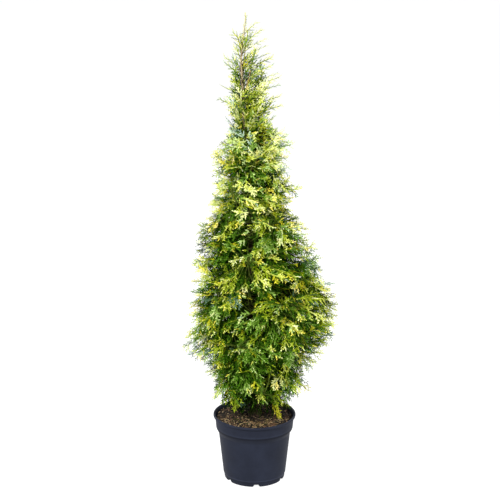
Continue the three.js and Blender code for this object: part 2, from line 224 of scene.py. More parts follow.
def bark_material(name, low, high, z0, z1, scale=1.0):
    """Fibrous bark that turns from one colour to another with height."""
    m = bpy.data.materials.new(name)
    m.use_nodes = True
    nt = m.node_tree
    b = nt.nodes["Principled BSDF"]
    b.inputs["Specular IOR Level"].default_value = 0.25
    b.inputs["Roughness"].default_value = 0.85
    tc = nt.nodes.new("ShaderNodeTexCoord")
    mp = nt.nodes.new("ShaderNodeMapping")
    mp.inputs["Scale"].default_value = (520 * scale, 520 * scale, 70 * scale)
    nt.links.new(tc.outputs["Object"], mp.inputs["Vector"])
    no = nt.nodes.new("ShaderNodeTexNoise")
    no.inputs["Scale"].default_value = 1.0
    no.inputs["Detail"].default_value = 6.0
    no.inputs["Roughness"].default_value = 0.62
    nt.links.new(mp.outputs["Vector"], no.inputs["Vector"])
    sep = nt.nodes.new("ShaderNodeSeparateXYZ")
    nt.links.new(tc.outputs["Object"], sep.inputs["Vector"])
    rg = nt.nodes.new("ShaderNodeMapRange")
    rg.inputs["From Min"].default_value = z0
    rg.inputs["From Max"].default_value = z1
    nt.links.new(sep.outputs["Z"], rg.inputs["Value"])
    ra, rb = nt.nodes.new("ShaderNodeValToRGB"), nt.nodes.new("ShaderNodeValToRGB")
    for ramp, cols in ((ra, low), (rb, high)):
        e = ramp.color_ramp.elements
        e[0].position, e[1].position = 0.32, 0.72
        e[0].color = (*linear(cols[0]), 1)
        e[1].color = (*linear(cols[2]), 1)
        mid = e.new(0.5)
        mid.color = (*linear(cols[1]), 1)
        nt.links.new(no.outputs["Fac"], ramp.inputs["Fac"])
    mix = nt.nodes.new("ShaderNodeMix")
    mix.data_type = "RGBA"
    nt.links.new(rg.outputs["Result"], mix.inputs["Factor"])
    nt.links.new(ra.outputs["Color"], mix.inputs["A"])
    nt.links.new(rb.outputs["Color"], mix.inputs["B"])
    nt.links.new(mix.outputs["Result"], b.inputs["Base Color"])
    bump = nt.nodes.new("ShaderNodeBump")
    bump.inputs["Strength"].default_value = 0.5
    bump.inputs["Distance"].default_value = 0.0006
    nt.links.new(no.outputs["Fac"], bump.inputs["Height"])
    nt.links.new(bump.outputs["Normal"], b.inputs["Normal"])
    return m


def plastic_material():
    m = bpy.data.materials.new("pot_plastic")
    m.use_nodes = True
    nt = m.node_tree
    b = nt.nodes["Principled BSDF"]
    b.inputs["Specular IOR Level"].default_value = 0.07
    tc = nt.nodes.new("ShaderNodeTexCoord")
    big = nt.nodes.new("ShaderNodeTexNoise")
    big.inputs["Scale"].default_value = 16.0
    big.inputs["Detail"].default_value = 5.0
    big.inputs["Roughness"].default_value = 0.6
    nt.links.new(tc.outputs["Object"], big.inputs["Vector"])
    ramp = nt.nodes.new("ShaderNodeValToRGB")
    e = ramp.color_ramp.elements
    e[0].position, e[1].position = 0.3, 0.75
    e[0].color = (*linear((22, 25, 35)), 1)
    e[1].color = (*linear((31, 35, 47)), 1)
    nt.links.new(big.outputs["Fac"], ramp.inputs["Fac"])
    # painted shade: a fine dark line round the collar's foot, where the overhang shades the wall, with a painted
    # highlight on the edge above it
    sep = nt.nodes.new("ShaderNodeSeparateXYZ")
    nt.links.new(tc.outputs["Object"], sep.inputs["Vector"])
    painted_shade_and_highlight_band = nt.nodes.new("ShaderNodeValToRGB")
    e = painted_shade_and_highlight_band.color_ramp.elements
    e[0].position, e[0].color = 0.00, (1, 1, 1, 1)
    e[1].position, e[1].color = 1.00, (1, 1, 1, 1)
    for at, v in ((0.20, 1.0), (0.48, 0.92), (0.62, 0.66), (0.68, 0.50), (0.75, 0.50), (0.82, 1.30), (0.91, 1.22)):
        k = e.new(at)
        k.color = (v, v, v, 1)
    rb = nt.nodes.new("ShaderNodeMapRange")
    rb.inputs["From Min"].default_value, rb.inputs["From Max"].default_value = 0.125, 0.152
    nt.links.new(sep.outputs["Z"], rb.inputs["Value"])
    nt.links.new(rb.outputs["Result"], painted_shade_and_highlight_band.inputs["Fac"])
    shade = nt.nodes.new("ShaderNodeMix")
    shade.data_type, shade.blend_type = "RGBA", "MULTIPLY"
    shade.inputs["Factor"].default_value = 1.0
    nt.links.new(ramp.outputs["Color"], shade.inputs["A"])
    nt.links.new(painted_shade_and_highlight_band.outputs["Color"], shade.inputs["B"])
    # painted highlight: a pale line along the body's lower edge above the foot, with painted shade just below it
    edge = nt.nodes.new("ShaderNodeValToRGB")
    e = edge.color_ramp.elements
    e[0].position, e[0].color = 0.00, (0.9, 0.9, 0.9, 1)
    e[1].position, e[1].color = 1.00, (1, 1, 1, 1)
    for at, v in ((0.40, 0.82), (0.48, 1.0), (0.55, 1.9), (0.66, 1.6), (0.78, 1.0)):
        k = e.new(at)
        k.color = (v, v, v, 1)
    re = nt.nodes.new("ShaderNodeMapRange")
    re.inputs["From Min"].default_value, re.inputs["From Max"].default_value = 0.008, 0.022
    nt.links.new(sep.outputs["Z"], re.inputs["Value"])
    nt.links.new(re.outputs["Result"], edge.inputs["Fac"])
    painted_highlight_and_shade = nt.nodes.new("ShaderNodeMix")
    painted_highlight_and_shade.data_type, painted_highlight_and_shade.blend_type = "RGBA", "MULTIPLY"
    painted_highlight_and_shade.inputs["Factor"].default_value = 1.0
    nt.links.new(shade.outputs["Result"], painted_highlight_and_shade.inputs["A"])
    nt.links.new(edge.outputs["Color"], painted_highlight_and_shade.inputs["B"])
    nt.links.new(painted_highlight_and_shade.outputs["Result"], b.inputs["Base Color"])
    rr = nt.nodes.new("ShaderNodeMapRange")
    rr.inputs["From Min"].default_value, rr.inputs["From Max"].default_value = 0.3, 0.7
    rr.inputs["To Min"].default_value, rr.inputs["To Max"].default_value = 0.50, 0.64
    nt.links.new(big.outputs["Fac"], rr.inputs["Value"])
    nt.links.new(rr.outputs["Result"], b.inputs["Roughness"])
    fine = nt.nodes.new("ShaderNodeTexNoise")
    fine.inputs["Scale"].default_value = 900.0
    fine.inputs["Detail"].default_value = 2.0
    nt.links.new(tc.outputs["Object"], fine.inputs["Vector"])
    bump = nt.nodes.new("ShaderNodeBump")
    bump.inputs["Strength"].default_value = 0.18
    bump.inputs["Distance"].default_value = 0.0002
    nt.links.new(fine.outputs["Fac"], bump.inputs["Height"])
    nt.links.new(bump.outputs["Normal"], b.inputs["Normal"])
    return m


# ------------------------------------------------------------------ mesh making
def add_mesh(name, verts, faces, mats, index=None, smooth_shade=False):
    """One object from arrays: verts (n, 3), faces (m, 3 or 4)."""
    verts = np.asarray(verts, np.float32)
    faces = np.asarray(faces, np.int32)
    me = bpy.data.meshes.new(name)
    me.vertices.add(len(verts))
    me.vertices.foreach_set("co", verts.ravel())
    k = faces.shape[1]
    me.loops.add(faces.size)
    me.loops.foreach_set("vertex_index", faces.ravel())
    me.polygons.add(len(faces))
    me.polygons.foreach_set("loop_start", np.arange(0, faces.size, k, dtype=np.int32))
    me.polygons.foreach_set("loop_total", np.full(len(faces), k, np.int32))
    for m in mats:
        me.materials.append(m)
    if index is not None:
        me.polygons.foreach_set("material_index", np.asarray(index, np.int32))
    me.polygons.foreach_set("use_smooth", np.full(len(faces), smooth_shade, bool))
    me.update(calc_edges=True)
    me.validate()
    o = bpy.data.objects.new(name, me)
    bpy.context.scene.collection.objects.link(o)
    return o


class Tubes:
    """Tapering limbs joined into one mesh."""

    def __init__(self):
        self.v, self.f, self.m, self.n = [], [], [], 0

    def add(self, line, radius, sides, mats, relief=None, cap=True):
        line = np.asarray(line, float)
        n = len(line)
        t = unit(np.gradient(line, axis=0))
        up = np.array([0.0, 0.0, 1.0]) if abs(t[0, 2]) < 0.9 else np.array([1.0, 0, 0])
        u = unit(np.cross(up, t[0]))
        us = [u]
        for i in range(1, n):  # carry the side vector along without twist
            u = unit(us[-1] - t[i] * np.dot(us[-1], t[i]))
            us.append(u)
        us = np.array(us)
        ws = np.cross(t, us)
        a = np.linspace(0, 2 * np.pi, sides, endpoint=False)
        r = np.asarray(radius, float).reshape(n, 1) * np.ones((1, sides))
        if relief is not None:
            r = r + relief
        ring = (
            line[:, None, :]
            + r[..., None]
            * (
                np.cos(a)[None, :, None] * us[:, None, :]
                + np.sin(a)[None, :, None] * ws[:, None, :]
            )
        ).reshape(-1, 3)
        i, j = np.meshgrid(np.arange(n - 1), np.arange(sides), indexing="ij")
        p, q = i * sides + j, i * sides + (j + 1) % sides
        quads = np.stack([p, q, q + sides, p + sides], -1).reshape(-1, 4)
        mat = np.repeat(np.asarray(mats) * np.ones(n - 1, int), sides)
        tri = np.vstack([quads[:, [0, 1, 2]], quads[:, [0, 2, 3]]])
        mat = np.r_[mat, mat]
        extra = []
        if cap:
            ring = np.vstack([ring, line[-1] + t[-1] * r[-1].mean() * 0.8])
            last = n * sides
            k = np.arange(sides)
            extra = np.stack(
                [(n - 1) * sides + k, (n - 1) * sides + (k + 1) % sides, np.full(sides, last)], -1
            )
            tri = np.vstack([tri, extra])
            mat = np.r_[mat, np.full(sides, mat[-1])]
        self.v.append(ring)
        self.f.append(tri + self.n)
        self.m.append(mat)
        self.n += len(ring)

    def build(self, name, mats, smooth_shade=True):
        return add_mesh(
            name, np.vstack(self.v), np.vstack(self.f), mats, np.concatenate(self.m), smooth_shade
        )


# ------------------------------------------------------------------ camera, light and floor
cam_data = bpy.data.cameras.new("camera")
cam_data.sensor_width = 36.0
cam_data.lens = CAM_F / 500 * 36.0
cam_data.clip_end = 200
cam = bpy.data.objects.new("camera", cam_data)
cam.location = CAM_AT.tolist()
cam.rotation_euler = (math.radians(90 - CAM_PITCH), 0, 0)
bpy.context.scene.collection.objects.link(cam)
bpy.context.scene.camera = cam
bpy.context.scene.view_settings.view_transform = "Standard"

world = bpy.data.worlds.new("white_studio")
world.use_nodes = True
wt = world.node_tree
wt.nodes["Background"].inputs["Strength"].default_value = 1.0
w_tc, w_sep, w_ramp = (wt.nodes.new(k) for k in ("ShaderNodeTexCoord", "ShaderNodeSeparateXYZ", "ShaderNodeValToRGB"))
wt.links.new(w_tc.outputs["Generated"], w_sep.inputs["Vector"])
wt.links.new(w_sep.outputs["Z"], w_ramp.inputs["Fac"])
e = w_ramp.color_ramp.elements
e[0].position, e[0].color = 0.10, (1.0, 1.0, 1.0, 1)
e[1].position, e[1].color = 0.60, (0.36, 0.36, 0.36, 1)
mid = e.new(0.26)
mid.color = (0.62, 0.62, 0.62, 1)
wt.links.new(w_ramp.outputs["Color"], wt.nodes["Background"].inputs["Color"])
bpy.context.scene.world = world


def softbox(name, at, to, size, power):
    d = bpy.data.lights.new(name, "AREA")
    d.shape, d.size, d.size_y, d.energy = "RECTANGLE", size[0], size[1], power
    o = bpy.data.objects.new(name, d)
    o.location = at
    o.rotation_euler = (Vector(to) - Vector(at)).to_track_quat("-Z", "Y").to_euler()
    bpy.context.scene.collection.objects.link(o)
    return o


softbox("key", (-1.7, -2.75, 2.9), (0, 0, 0.6), (0.9, 0.9), 300)
softbox("fill", (2.8, -1.2, 1.5), (0, 0, 0.5), (1.4, 2.2), 92)
softbox("back_left", (-2.0, 2.8, 2.4), (0, 0, 0.6), (1.8, 1.8), 100)
softbox("back_right", (2.4, 2.2, 2.2), (0, 0, 0.6), (1.8, 1.8), 110)

S = 30.0
floor = add_mesh(
    "floor",
    [(-S, -S, 0), (S, -S, 0), (S, S, 0), (-S, S, 0)],
    [(0, 1, 2, 3)],
    [principled("floor_white", (110, 110, 110), 0.9, 0.0)],
)
floor.data.materials[0].node_tree.nodes["Principled BSDF"].inputs["Emission Color"].default_value = (1, 1, 1, 1)
floor.data.materials[0].node_tree.nodes["Principled BSDF"].inputs["Emission Strength"].default_value = 0.94
floor.location.z = -0.0005
floor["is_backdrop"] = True


# ------------------------------------------------------------------ pot
def fillet(profile, radius, steps=4):
    """Rounds the corners of an open (r, z) line."""
    p = [np.array(q[:2], float) for q in profile]
    out = [p[0]]
    for i in range(1, len(p) - 1):
        a, b, c = p[i - 1], p[i], p[i + 1]
        la, lc = np.linalg.norm(a - b), np.linalg.norm(c - b)
        d = min(radius[i] if np.ndim(radius) else radius, la * 0.45, lc * 0.45)
        s, e = b + (a - b) / la * d, b + (c - b) / lc * d
        for t in np.linspace(0, 1, steps + 1):
            out.append(s * (1 - t) ** 2 + 2 * b * t * (1 - t) + e * t * t)
    out.append(p[-1])
    return np.array(out)


def make_pot():
    mm = 0.001
    prof = [
        (0.01, 0.6), (46, 0.6), (48, 7), (61, 7), (63, 0), (79, 0), (80.8, 2.2), (81.9, 13.6),
        (83.6, 15.4), (95.8, 129.6), (102.5, 141.2), (105.4, 173.2), (109.4, 173.5), (110, 175.6),
        (109.5, 178.8), (107.6, 180), (105.6, 179.7), (103.6, 176.6), (100.6, 141.8), (93.9, 130.8),
        (81.5, 15.2), (77.6, 9.6), (0.01, 9.4),
    ]
    rad = [0, 1, 1.5, 1.5, 1.0, 1.4, 1.0, 1.0, 0.8, 2.6, 2.2, 1.0, 0.8, 1.0, 1.0, 1.0, 1.0, 1.4, 2.2, 2.6, 2, 2, 0]
    line = fillet(prof, rad, 3)
    # more rings on the long walls, so that their shading is even
    pts = [line[0]]
    for a, b in zip(line[:-1], line[1:], strict=True):
        n = max(1, int(np.linalg.norm(b - a) / 9))
        pts += [a + (b - a) * k / n for k in range(1, n + 1)]
    line = np.array(pts)
    # azimuths: even, with a few more at the edges of the notches
    first, half, slope = math.radians(-86.5), 9.5, 4.5
    az = set(np.round(np.linspace(0, 2 * np.pi, 216, endpoint=False), 6).tolist())
    for k in range(6):
        c = first + k * math.pi / 3
        for e in (-half, -half + 1.0, -half + slope, half - slope, half - 1.0, half):
            az.add(round((c + e / 80.0) % (2 * np.pi), 6))
    az = np.array(sorted(az))
    R, A = np.meshgrid(line[:, 0], az, indexing="ij")
    Z = np.repeat(line[:, 1][:, None], len(az), 1)
    # notches: the foot's edge rises in six short arches
    d = (A - first + math.pi / 6) % (math.pi / 3) - math.pi / 6
    w = np.abs(d) * 80.0
    rise = np.clip((half - w) / slope, 0, 1) * 6.4
    low = (Z < 9.0) & (R > 62.0) & (np.arange(len(line))[:, None] < 70)
    outer = np.arange(len(line))[:, None] < np.argmax(line[:, 1])
    low &= outer
    Z = np.where(low, Z + rise * (1 - Z / 9.0), Z)
    X, Y = R * np.cos(A), R * np.sin(A)
    v = np.stack([X, Y, Z], -1).reshape(-1, 3) * mm
    n, s = len(line), len(az)
    i, j = np.meshgrid(np.arange(n - 1), np.arange(s), indexing="ij")
    p, q = i * s + j, i * s + (j + 1) % s
    f = np.stack([p, q, q + s, p + s], -1).reshape(-1, 4)
    # close the two poles
    v = np.vstack([v, [[0, 0, line[0, 1] * mm], [0, 0, line[-1, 1] * mm]]])
    k = np.arange(s)
    cap0 = np.stack([np.full(s, n * s), (k + 1) % s, k], -1)
    cap1 = np.stack([np.full(s, n * s + 1), (n - 1) * s + k, (n - 1) * s + (k + 1) % s], -1)
    tri = np.vstack([f[:, [0, 1, 2]], f[:, [0, 2, 3]], cap0, cap1])
    o = add_mesh("pot_shell", v, tri, [plastic_material()], smooth_shade=True)
    return o


pot = make_pot()
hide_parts("pot")
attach(pot, "root")


# ------------------------------------------------------------------ soil
def soil_height(x, y):
    r = np.hypot(x, y)
    z = 0.1685 + 0.0045 * np.clip(1 - r / 0.102, 0, 1) ** 0.7
    z += 0.0011 * np.sin(x * 71 + 1.3) * np.cos(y * 83)
    return z


def make_soil():
    r = np.r_[np.linspace(0, 0.098, 70), 0.1005, 0.1022]
    s = 180
    a = np.linspace(0, 2 * np.pi, s, endpoint=False)
    R, A = np.meshgrid(r, a, indexing="ij")
    X, Y = R * np.cos(A), R * np.sin(A)
    Z = soil_height(X, Y)
    g = np.random.default_rng(5)
    for k in range(60):  # crumbs and hollows
        cx, cy = g.uniform(-0.1, 0.1, 2)
        w, h = g.uniform(0.004, 0.013), g.uniform(-0.0018, 0.0022)
        Z += h * np.exp(-((X - cx) ** 2 + (Y - cy) ** 2) / (w * w))
    Z += g.normal(0, 0.00045, Z.shape)
    Z = np.where(R > 0.0995, 0.1672, Z)
    Z[0] = Z[0].mean()
    v = np.stack([X, Y, Z], -1).reshape(-1, 3)
    n = len(r)
    i, j = np.meshgrid(np.arange(n - 1), np.arange(s), indexing="ij")
    p, q = i * s + j, i * s + (j + 1) % s
    f = np.stack([p, q, q + s, p + s], -1).reshape(-1, 4)
    f = f[:, ::-1]
    f = f[(i.ravel() > 0)]
    tri = np.vstack([f[:, [0, 1, 2]], f[:, [0, 2, 3]]])
    k = np.arange(s)
    tri = np.vstack([tri, np.stack([np.zeros(s, int), s + k, s + (k + 1) % s], -1)])
    m = bpy.data.materials.new("soil_crumb")
    m.use_nodes = True
    nt = m.node_tree
    b = nt.nodes["Principled BSDF"]
    b.inputs["Roughness"].default_value = 0.95
    b.inputs["Specular IOR Level"].default_value = 0.15
    tc = nt.nodes.new("ShaderNodeTexCoord")
    no = nt.nodes.new("ShaderNodeTexNoise")
    no.inputs["Scale"].default_value = 260.0
    no.inputs["Detail"].default_value = 6.0
    nt.links.new(tc.outputs["Object"], no.inputs["Vector"])
    ramp = nt.nodes.new("ShaderNodeValToRGB")
    e = ramp.color_ramp.elements
    e[0].position, e[1].position = 0.34, 0.7
    e[0].color = (*linear((12, 11, 7)), 1)
    e[1].color = (*linear((40, 33, 22)), 1)
    nt.links.new(no.outputs["Fac"], ramp.inputs["Fac"])
    nt.links.new(ramp.outputs["Color"], b.inputs["Base Color"])
    bump = nt.nodes.new("ShaderNodeBump")
    bump.inputs["Strength"].default_value = 0.9
    bump.inputs["Distance"].default_value = 0.001
    nt.links.new(no.outputs["Fac"], bump.inputs["Height"])
    nt.links.new(bump.outputs["Normal"], b.inputs["Normal"])
    return add_mesh("soil_surface", v, tri, [m], smooth_shade=True)


soil = make_soil()
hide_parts("soil")
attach(soil, "root")


def make_litter():
    """Bark chips, fibres and moss lying on the soil."""
    g = np.random.default_rng(11)
    V, F, M, n = [], [], [], 0
    cube = np.array([(x, y, z) for z in (-1, 1) for y in (-1, 1) for x in (-1, 1)], float)
    box = np.array(
        [(0, 2, 1), (1, 2, 3), (4, 5, 6), (5, 7, 6), (0, 1, 4), (1, 5, 4), (2, 6, 3), (3, 6, 7), (0, 4, 2), (2, 4, 6), (1, 3, 5), (3, 7, 5)]
    )
    for _ in range(1500):
        r, a = 0.1 * math.sqrt(g.random()), g.random() * 2 * math.pi
        if r < 0.018:
            continue
        x, y = r * math.cos(a), r * math.sin(a)
        size = np.array([g.uniform(0.0012, 0.0052), g.uniform(0.0008, 0.0024), g.uniform(0.0004, 0.0012)]) * (0.75 + 0.5 * g.random())
        p = cube * size * g.uniform(0.65, 1.25, (8, 3))
        e1, e2, e3 = g.normal(0, 0.35), g.normal(0, 0.35), g.random() * 6.3
        cx, sx, cy, sy, cz, sz = math.cos(e1), math.sin(e1), math.cos(e2), math.sin(e2), math.cos(e3), math.sin(e3)
        rot = (
            np.array([[cz, -sz, 0], [sz, cz, 0], [0, 0, 1]])
            @ np.array([[cy, 0, sy], [0, 1, 0], [-sy, 0, cy]])
            @ np.array([[1, 0, 0], [0, cx, -sx], [0, sx, cx]])
        )
        p = p @ rot.T + [x, y, float(soil_height(x, y)) + g.uniform(-0.0002, 0.0016)]
        if np.hypot(p[:, 0], p[:, 1]).max() > 0.1025:
            continue
        V.append(p)
        F.append(box + n)
        M.append(np.full(12, g.choice([0, 1, 2, 3], p=[0.42, 0.31, 0.18, 0.09])))
        n += 8
    chips = add_mesh(
        "soil_bark_chips",
        np.vstack(V),
        np.vstack(F),
        [
            principled("chip_dark", (23, 19, 13), 0.9, 0.2),
            principled("chip_brown", (47, 36, 25), 0.9, 0.2),
            principled("chip_pink", (85, 63, 46), 0.9, 0.2),
            principled("chip_pale", (118, 100, 74), 0.9, 0.2),
        ],
        np.concatenate(M),
    )
    # fibres: thin curved straws, mostly at the front
    tubes = Tubes()
    for _ in range(110):
        a = g.normal(-math.pi / 2 + 0.25, 0.75) if g.random() < 0.7 else g.random() * 6.3
        r = g.uniform(0.045, 0.094)
        c = np.array([r * math.cos(a), r * math.sin(a)])
        d = g.random() * 6.3
        L = g.uniform(0.008, 0.03)
        bend = g.normal(0, 0.5)
        t = np.linspace(-0.5, 0.5, 7)
        x = c[0] + L * t * math.cos(d) - bend * L * (t**2) * math.sin(d)
        y = c[1] + L * t * math.sin(d) + bend * L * (t**2) * math.cos(d)
        if np.hypot(x, y).max() > 0.1:
            continue
        z = soil_height(x, y) + 0.0008 + 0.0022 * g.random() * (1 - (2 * t) ** 2)
        tubes.add(np.stack([x, y, z], -1), np.full(7, g.uniform(0.00018, 0.0004)), 4, int(g.integers(0, 3)))
    fibres = tubes.build(
        "soil_fibres",
        [
            principled("fibre_tan", (168, 140, 92), 0.85, 0.2),
            principled("fibre_straw", (190, 168, 118), 0.85, 0.2),
            principled("fibre_brown", (112, 84, 54), 0.85, 0.2),
        ],
    )
    # moss: tiny leaning blades in cushions round the foot of the stem
    V, F, M, n = [], [], [], 0
    for _ in range(110):
        a, r = g.random() * 6.3, 0.014 + 0.058 * math.sqrt(g.random())
        cx, cy, w = r * math.cos(a), r * math.sin(a), g.uniform(0.005, 0.012)
        shade = int(g.integers(0, 3))
        for _ in range(60):
            x, y = cx + g.normal(0, w * 0.5), cy + g.normal(0, w * 0.5)
            h = g.uniform(0.0014, 0.0036)
            z = float(soil_height(x, y)) - 0.0004
            d = g.random() * 6.3
            lean = g.normal(0, 0.0009, 2)
            s = 0.00042
            p = np.array(
                [
                    (x - s * math.cos(d), y - s * math.sin(d), z),
                    (x + s * math.cos(d), y + s * math.sin(d), z),
                    (x + lean[0], y + lean[1], z + h),
                ]
            )
            V.append(p)
            F.append([[n, n + 1, n + 2]])
            M.append([shade if g.random() < 0.7 else int(g.integers(0, 3))])
            n += 3
    moss = add_mesh(
        "soil_moss",
        np.vstack(V),
        np.vstack(F),
        [
            principled("moss_deep", (26, 38, 10), 0.9, 0.1),
            principled("moss_mid", (44, 54, 16), 0.9, 0.1),
            principled("moss_light", (76, 80, 30), 0.9, 0.1),
        ],
        np.concatenate(M),
    )
    for o in (chips, fibres, moss):
        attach(o, "root")


make_litter()


# ------------------------------------------------------------------ trunk with the bark's relief
def bark_relief(zs, sides, seed, plate, depth):
    """Radius changes of fibrous bark on a grid of heights and sides."""
    a = np.linspace(0, 1, sides, endpoint=False)
    U, V = np.meshgrid(np.asarray(zs), a, indexing="ij")
    span = zs[-1] - zs[0]
    out = np.zeros(U.shape)
    for k, (cells, tall, amp) in enumerate(((7, 0.05, 0.5), (15, 0.022, 0.32), (31, 0.009, 0.2))):
        f = noise2(seed + k, int(span / (tall * plate)) + 3, cells)
        twist = 0.4 * np.sin(U * 9 + k)
        n = read2(f, (U - zs[0]) / (tall * plate), V * cells + twist)
        out += amp * (np.abs(n - 0.5) * 2) ** 0.8
    return (out - out.mean()) * depth


spines = {}  # mass name -> (line, radius)


def make_trunk():
    zs = np.concatenate([np.linspace(TRUNK_FOOT, 0.24, 60, endpoint=False), np.linspace(0.24, TRUNK_TIP, 520)])
    sides = 44
    a = np.linspace(0, 2 * np.pi, sides, endpoint=False)
    rad = trunk_radius(zs)[:, None] * np.ones((1, sides))
    flare = np.clip(1 - (zs - TRUNK_FOOT) / 0.046, 0, 1)[:, None]
    rad *= 1 + 0.12 * flare * np.cos(3 * (a[None, :] + 0.37) + 0.6)
    rad += bark_relief(zs, sides, 31, 1.0, 1.0) * (0.10 * trunk_radius(zs) + 0.0001)[:, None]
    # collars where the boughs leave
    for line, r in spines.values():
        p = line[0]
        z = p[2] + 0.004
        d = unit(line[3] - line[0])
        az = math.atan2(d[1], d[0])
        da = (a[None, :] - az + np.pi) % (2 * np.pi) - np.pi
        w = r[0] * 1.9
        bump = np.exp(-((zs[:, None] - z) ** 2) / (w * w)) * np.exp(-(da**2) / 0.45)
        rad += bump * np.minimum(r[0] * 0.42, 0.22 * trunk_radius(zs)[:, None])
    c = trunk_at(zs)
    X = c[:, 0][:, None] + rad * np.cos(a)
    Y = c[:, 1][:, None] + rad * np.sin(a)
    Z = np.repeat(zs[:, None], sides, 1)
    v = np.stack([X, Y, Z], -1).reshape(-1, 3)
    n = len(zs)
    i, j = np.meshgrid(np.arange(n - 1), np.arange(sides), indexing="ij")
    p, q = i * sides + j, i * sides + (j + 1) % sides
    f = np.stack([p, q, q + sides, p + sides], -1).reshape(-1, 4)
    v = np.vstack([v, c[0][None], c[-1][None] + [[0, 0, 0.0006]]])
    k = np.arange(sides)
    lowcap = np.stack([np.full(sides, n * sides), (k + 1) % sides, k], -1)
    topcap = np.stack([np.full(sides, n * sides + 1), (n - 1) * sides + k, (n - 1) * sides + (k + 1) % sides], -1)
    tri = np.vstack([f[:, [0, 1, 2]], f[:, [0, 2, 3]], lowcap, topcap])
    m = bark_material(
        "trunk_bark",
        [(27, 21, 14), (50, 38, 26), (80, 64, 46)],
        [(106, 90, 64), (146, 130, 98), (182, 166, 130)],
        0.70,
        1.14,
    )
    o = add_mesh("trunk_bark", v, tri, [m], smooth_shade=True)
    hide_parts("trunk")
    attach(o, "root")


# ------------------------------------------------------------------ limbs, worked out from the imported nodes
def node_points(name):
    o = nodes[name]
    co = np.zeros(len(o.data.vertices) * 3)
    o.data.vertices.foreach_get("co", co)
    return co.reshape(-1, 3)


def node_faces(name):
    me = nodes[name].data
    me.calc_loop_triangles()
    t = np.zeros(len(me.loop_triangles) * 3, np.int32)
    me.loop_triangles.foreach_get("vertices", t)
    return t.reshape(-1, 3)


mass_names = sorted(n[len("foliage_"):] for n in nodes if n.startswith("foliage_"))
bough_names = {n[len("bough_"):] for n in nodes if n.startswith("bough_")}


def limb_axis(name):
    """The two ends of a bough node's centre line, trunk end first, and its radii there."""
    p = node_points("bough_" + name)
    c = p.mean(0)
    _, _, vt = np.linalg.svd(p - c, full_matrices=False)
    d = vt[0]
    t = (p - c) @ d
    lo, hi = p[t <= np.quantile(t, 0.3)], p[t >= np.quantile(t, 0.7)]
    a, b = lo.mean(0), hi.mean(0)
    axis = trunk_at(a[2])
    if np.hypot(*(a - trunk_at(a[2]))[:2]) > np.hypot(*(b - trunk_at(b[2]))[:2]):
        a, b, lo, hi = b, a, hi, lo

    def rad(q, m):
        e = unit(b - a)
        w = q - m
        return float(np.linalg.norm(w - np.outer(w @ e, e), axis=1).mean())

    return a, b, rad(lo, a), rad(hi, b)


masses = {}
for name in mass_names:
    p = node_points("foliage_" + name)
    f = node_faces("foliage_" + name)
    tri = p[f]
    area = np.linalg.norm(np.cross(tri[:, 1] - tri[:, 0], tri[:, 2] - tri[:, 0]), axis=1) / 2
    centre = (tri.mean(1) * area[:, None]).sum(0) / area.sum()
    tier = name.rsplit("_", 1)[0]
    masses[name] = {"p": p, "tri": tri, "area": area, "c": centre, "tier": tier}

for name, m in masses.items():
    c = m["c"]
    axis = trunk_at(c[2])
    out = unit(np.r_[(c - axis)[:2], 0])
    # the mass's own far tip: the point furthest along its slope
    lift = {"skirt": 4, "low": 16, "broad": 24, "middle": 32, "high": 40, "upper": 48, "top": 56, "crest": 66}[m["tier"]]
    slope = out * math.cos(math.radians(lift)) + np.array([0, 0, math.sin(math.radians(lift))])
    far = m["p"][np.argmax((m["p"] - c) @ slope)]
    m["out"], m["slope"], m["far"] = out, slope, far
    if name in bough_names:
        a, b, ra, rb = limb_axis(name)
        d = unit(b - a)
        # back along the limb to the middle of the trunk
        best = min(np.linspace(0, 0.06, 60), key=lambda s: np.hypot(*((a - d * s) - trunk_at((a - d * s)[2]))[:2]))
        start = a - d * max(0.0, best - 0.002)
        line = smooth([start, a, b, c + (b - c) * 0.1, c * 0.35 + far * 0.65, far * 0.94 + c * 0.06], 60)
        r0, r1 = ra * 1.02, 0.0007
    else:
        gap = np.hypot(*(c - axis)[:2])
        z0 = c[2] - 0.05 - gap * 0.9
        start = trunk_at(z0)
        line = smooth([start, start * 0.6 + c * 0.4 + [0, 0, -0.006], c, far * 0.94 + c * 0.06], 50)
        r0, r1 = 0.0018, 0.0006
    t = np.linspace(0, 1, len(line))
    m["line"] = line
    m["rad"] = r0 + (r1 - r0) * t**0.72
    spines[name] = (line, m["rad"])

make_trunk()

# ------------------------------------------------------------------ where each frond ends
OUTLINE = [  # height, and how far the leafy outline stands from the stem, left and right
    (0.190, 0.094, 0.098), (0.225, 0.104, 0.118), (0.255, 0.118, 0.140), (0.300, 0.130, 0.146),
    (0.330, 0.134, 0.158), (0.352, 0.150, 0.170), (0.375, 0.156, 0.190), (0.400, 0.162, 0.212),
    (0.430, 0.147, 0.203), (0.480, 0.153, 0.216), (0.515, 0.147, 0.208), (0.545, 0.133, 0.208),
    (0.575, 0.140, 0.184), (0.605, 0.140, 0.174), (0.635, 0.125, 0.172), (0.665, 0.132, 0.158),
    (0.700, 0.130, 0.138), (0.735, 0.119, 0.116), (0.757, 0.109, 0.106), (0.790, 0.096, 0.126),
    (0.820, 0.090, 0.108), (0.845, 0.087, 0.088), (0.875, 0.085, 0.099), (0.905, 0.072, 0.094),
    (0.935, 0.060, 0.098), (0.965, 0.046, 0.077), (0.995, 0.041, 0.077), (1.020, 0.046, 0.086),
    (1.050, 0.037, 0.074), (1.080, 0.030, 0.078), (1.110, 0.034, 0.064), (1.150, 0.022, 0.050),
    (1.200, 0.008, 0.028),
]
OUT_Z, OUT_L, OUT_R = (np.array([r[k] for r in OUTLINE]) for k in range(3))
lumps = noise2(4711, 22, 9)
knots = noise2(4712, 36, 15)


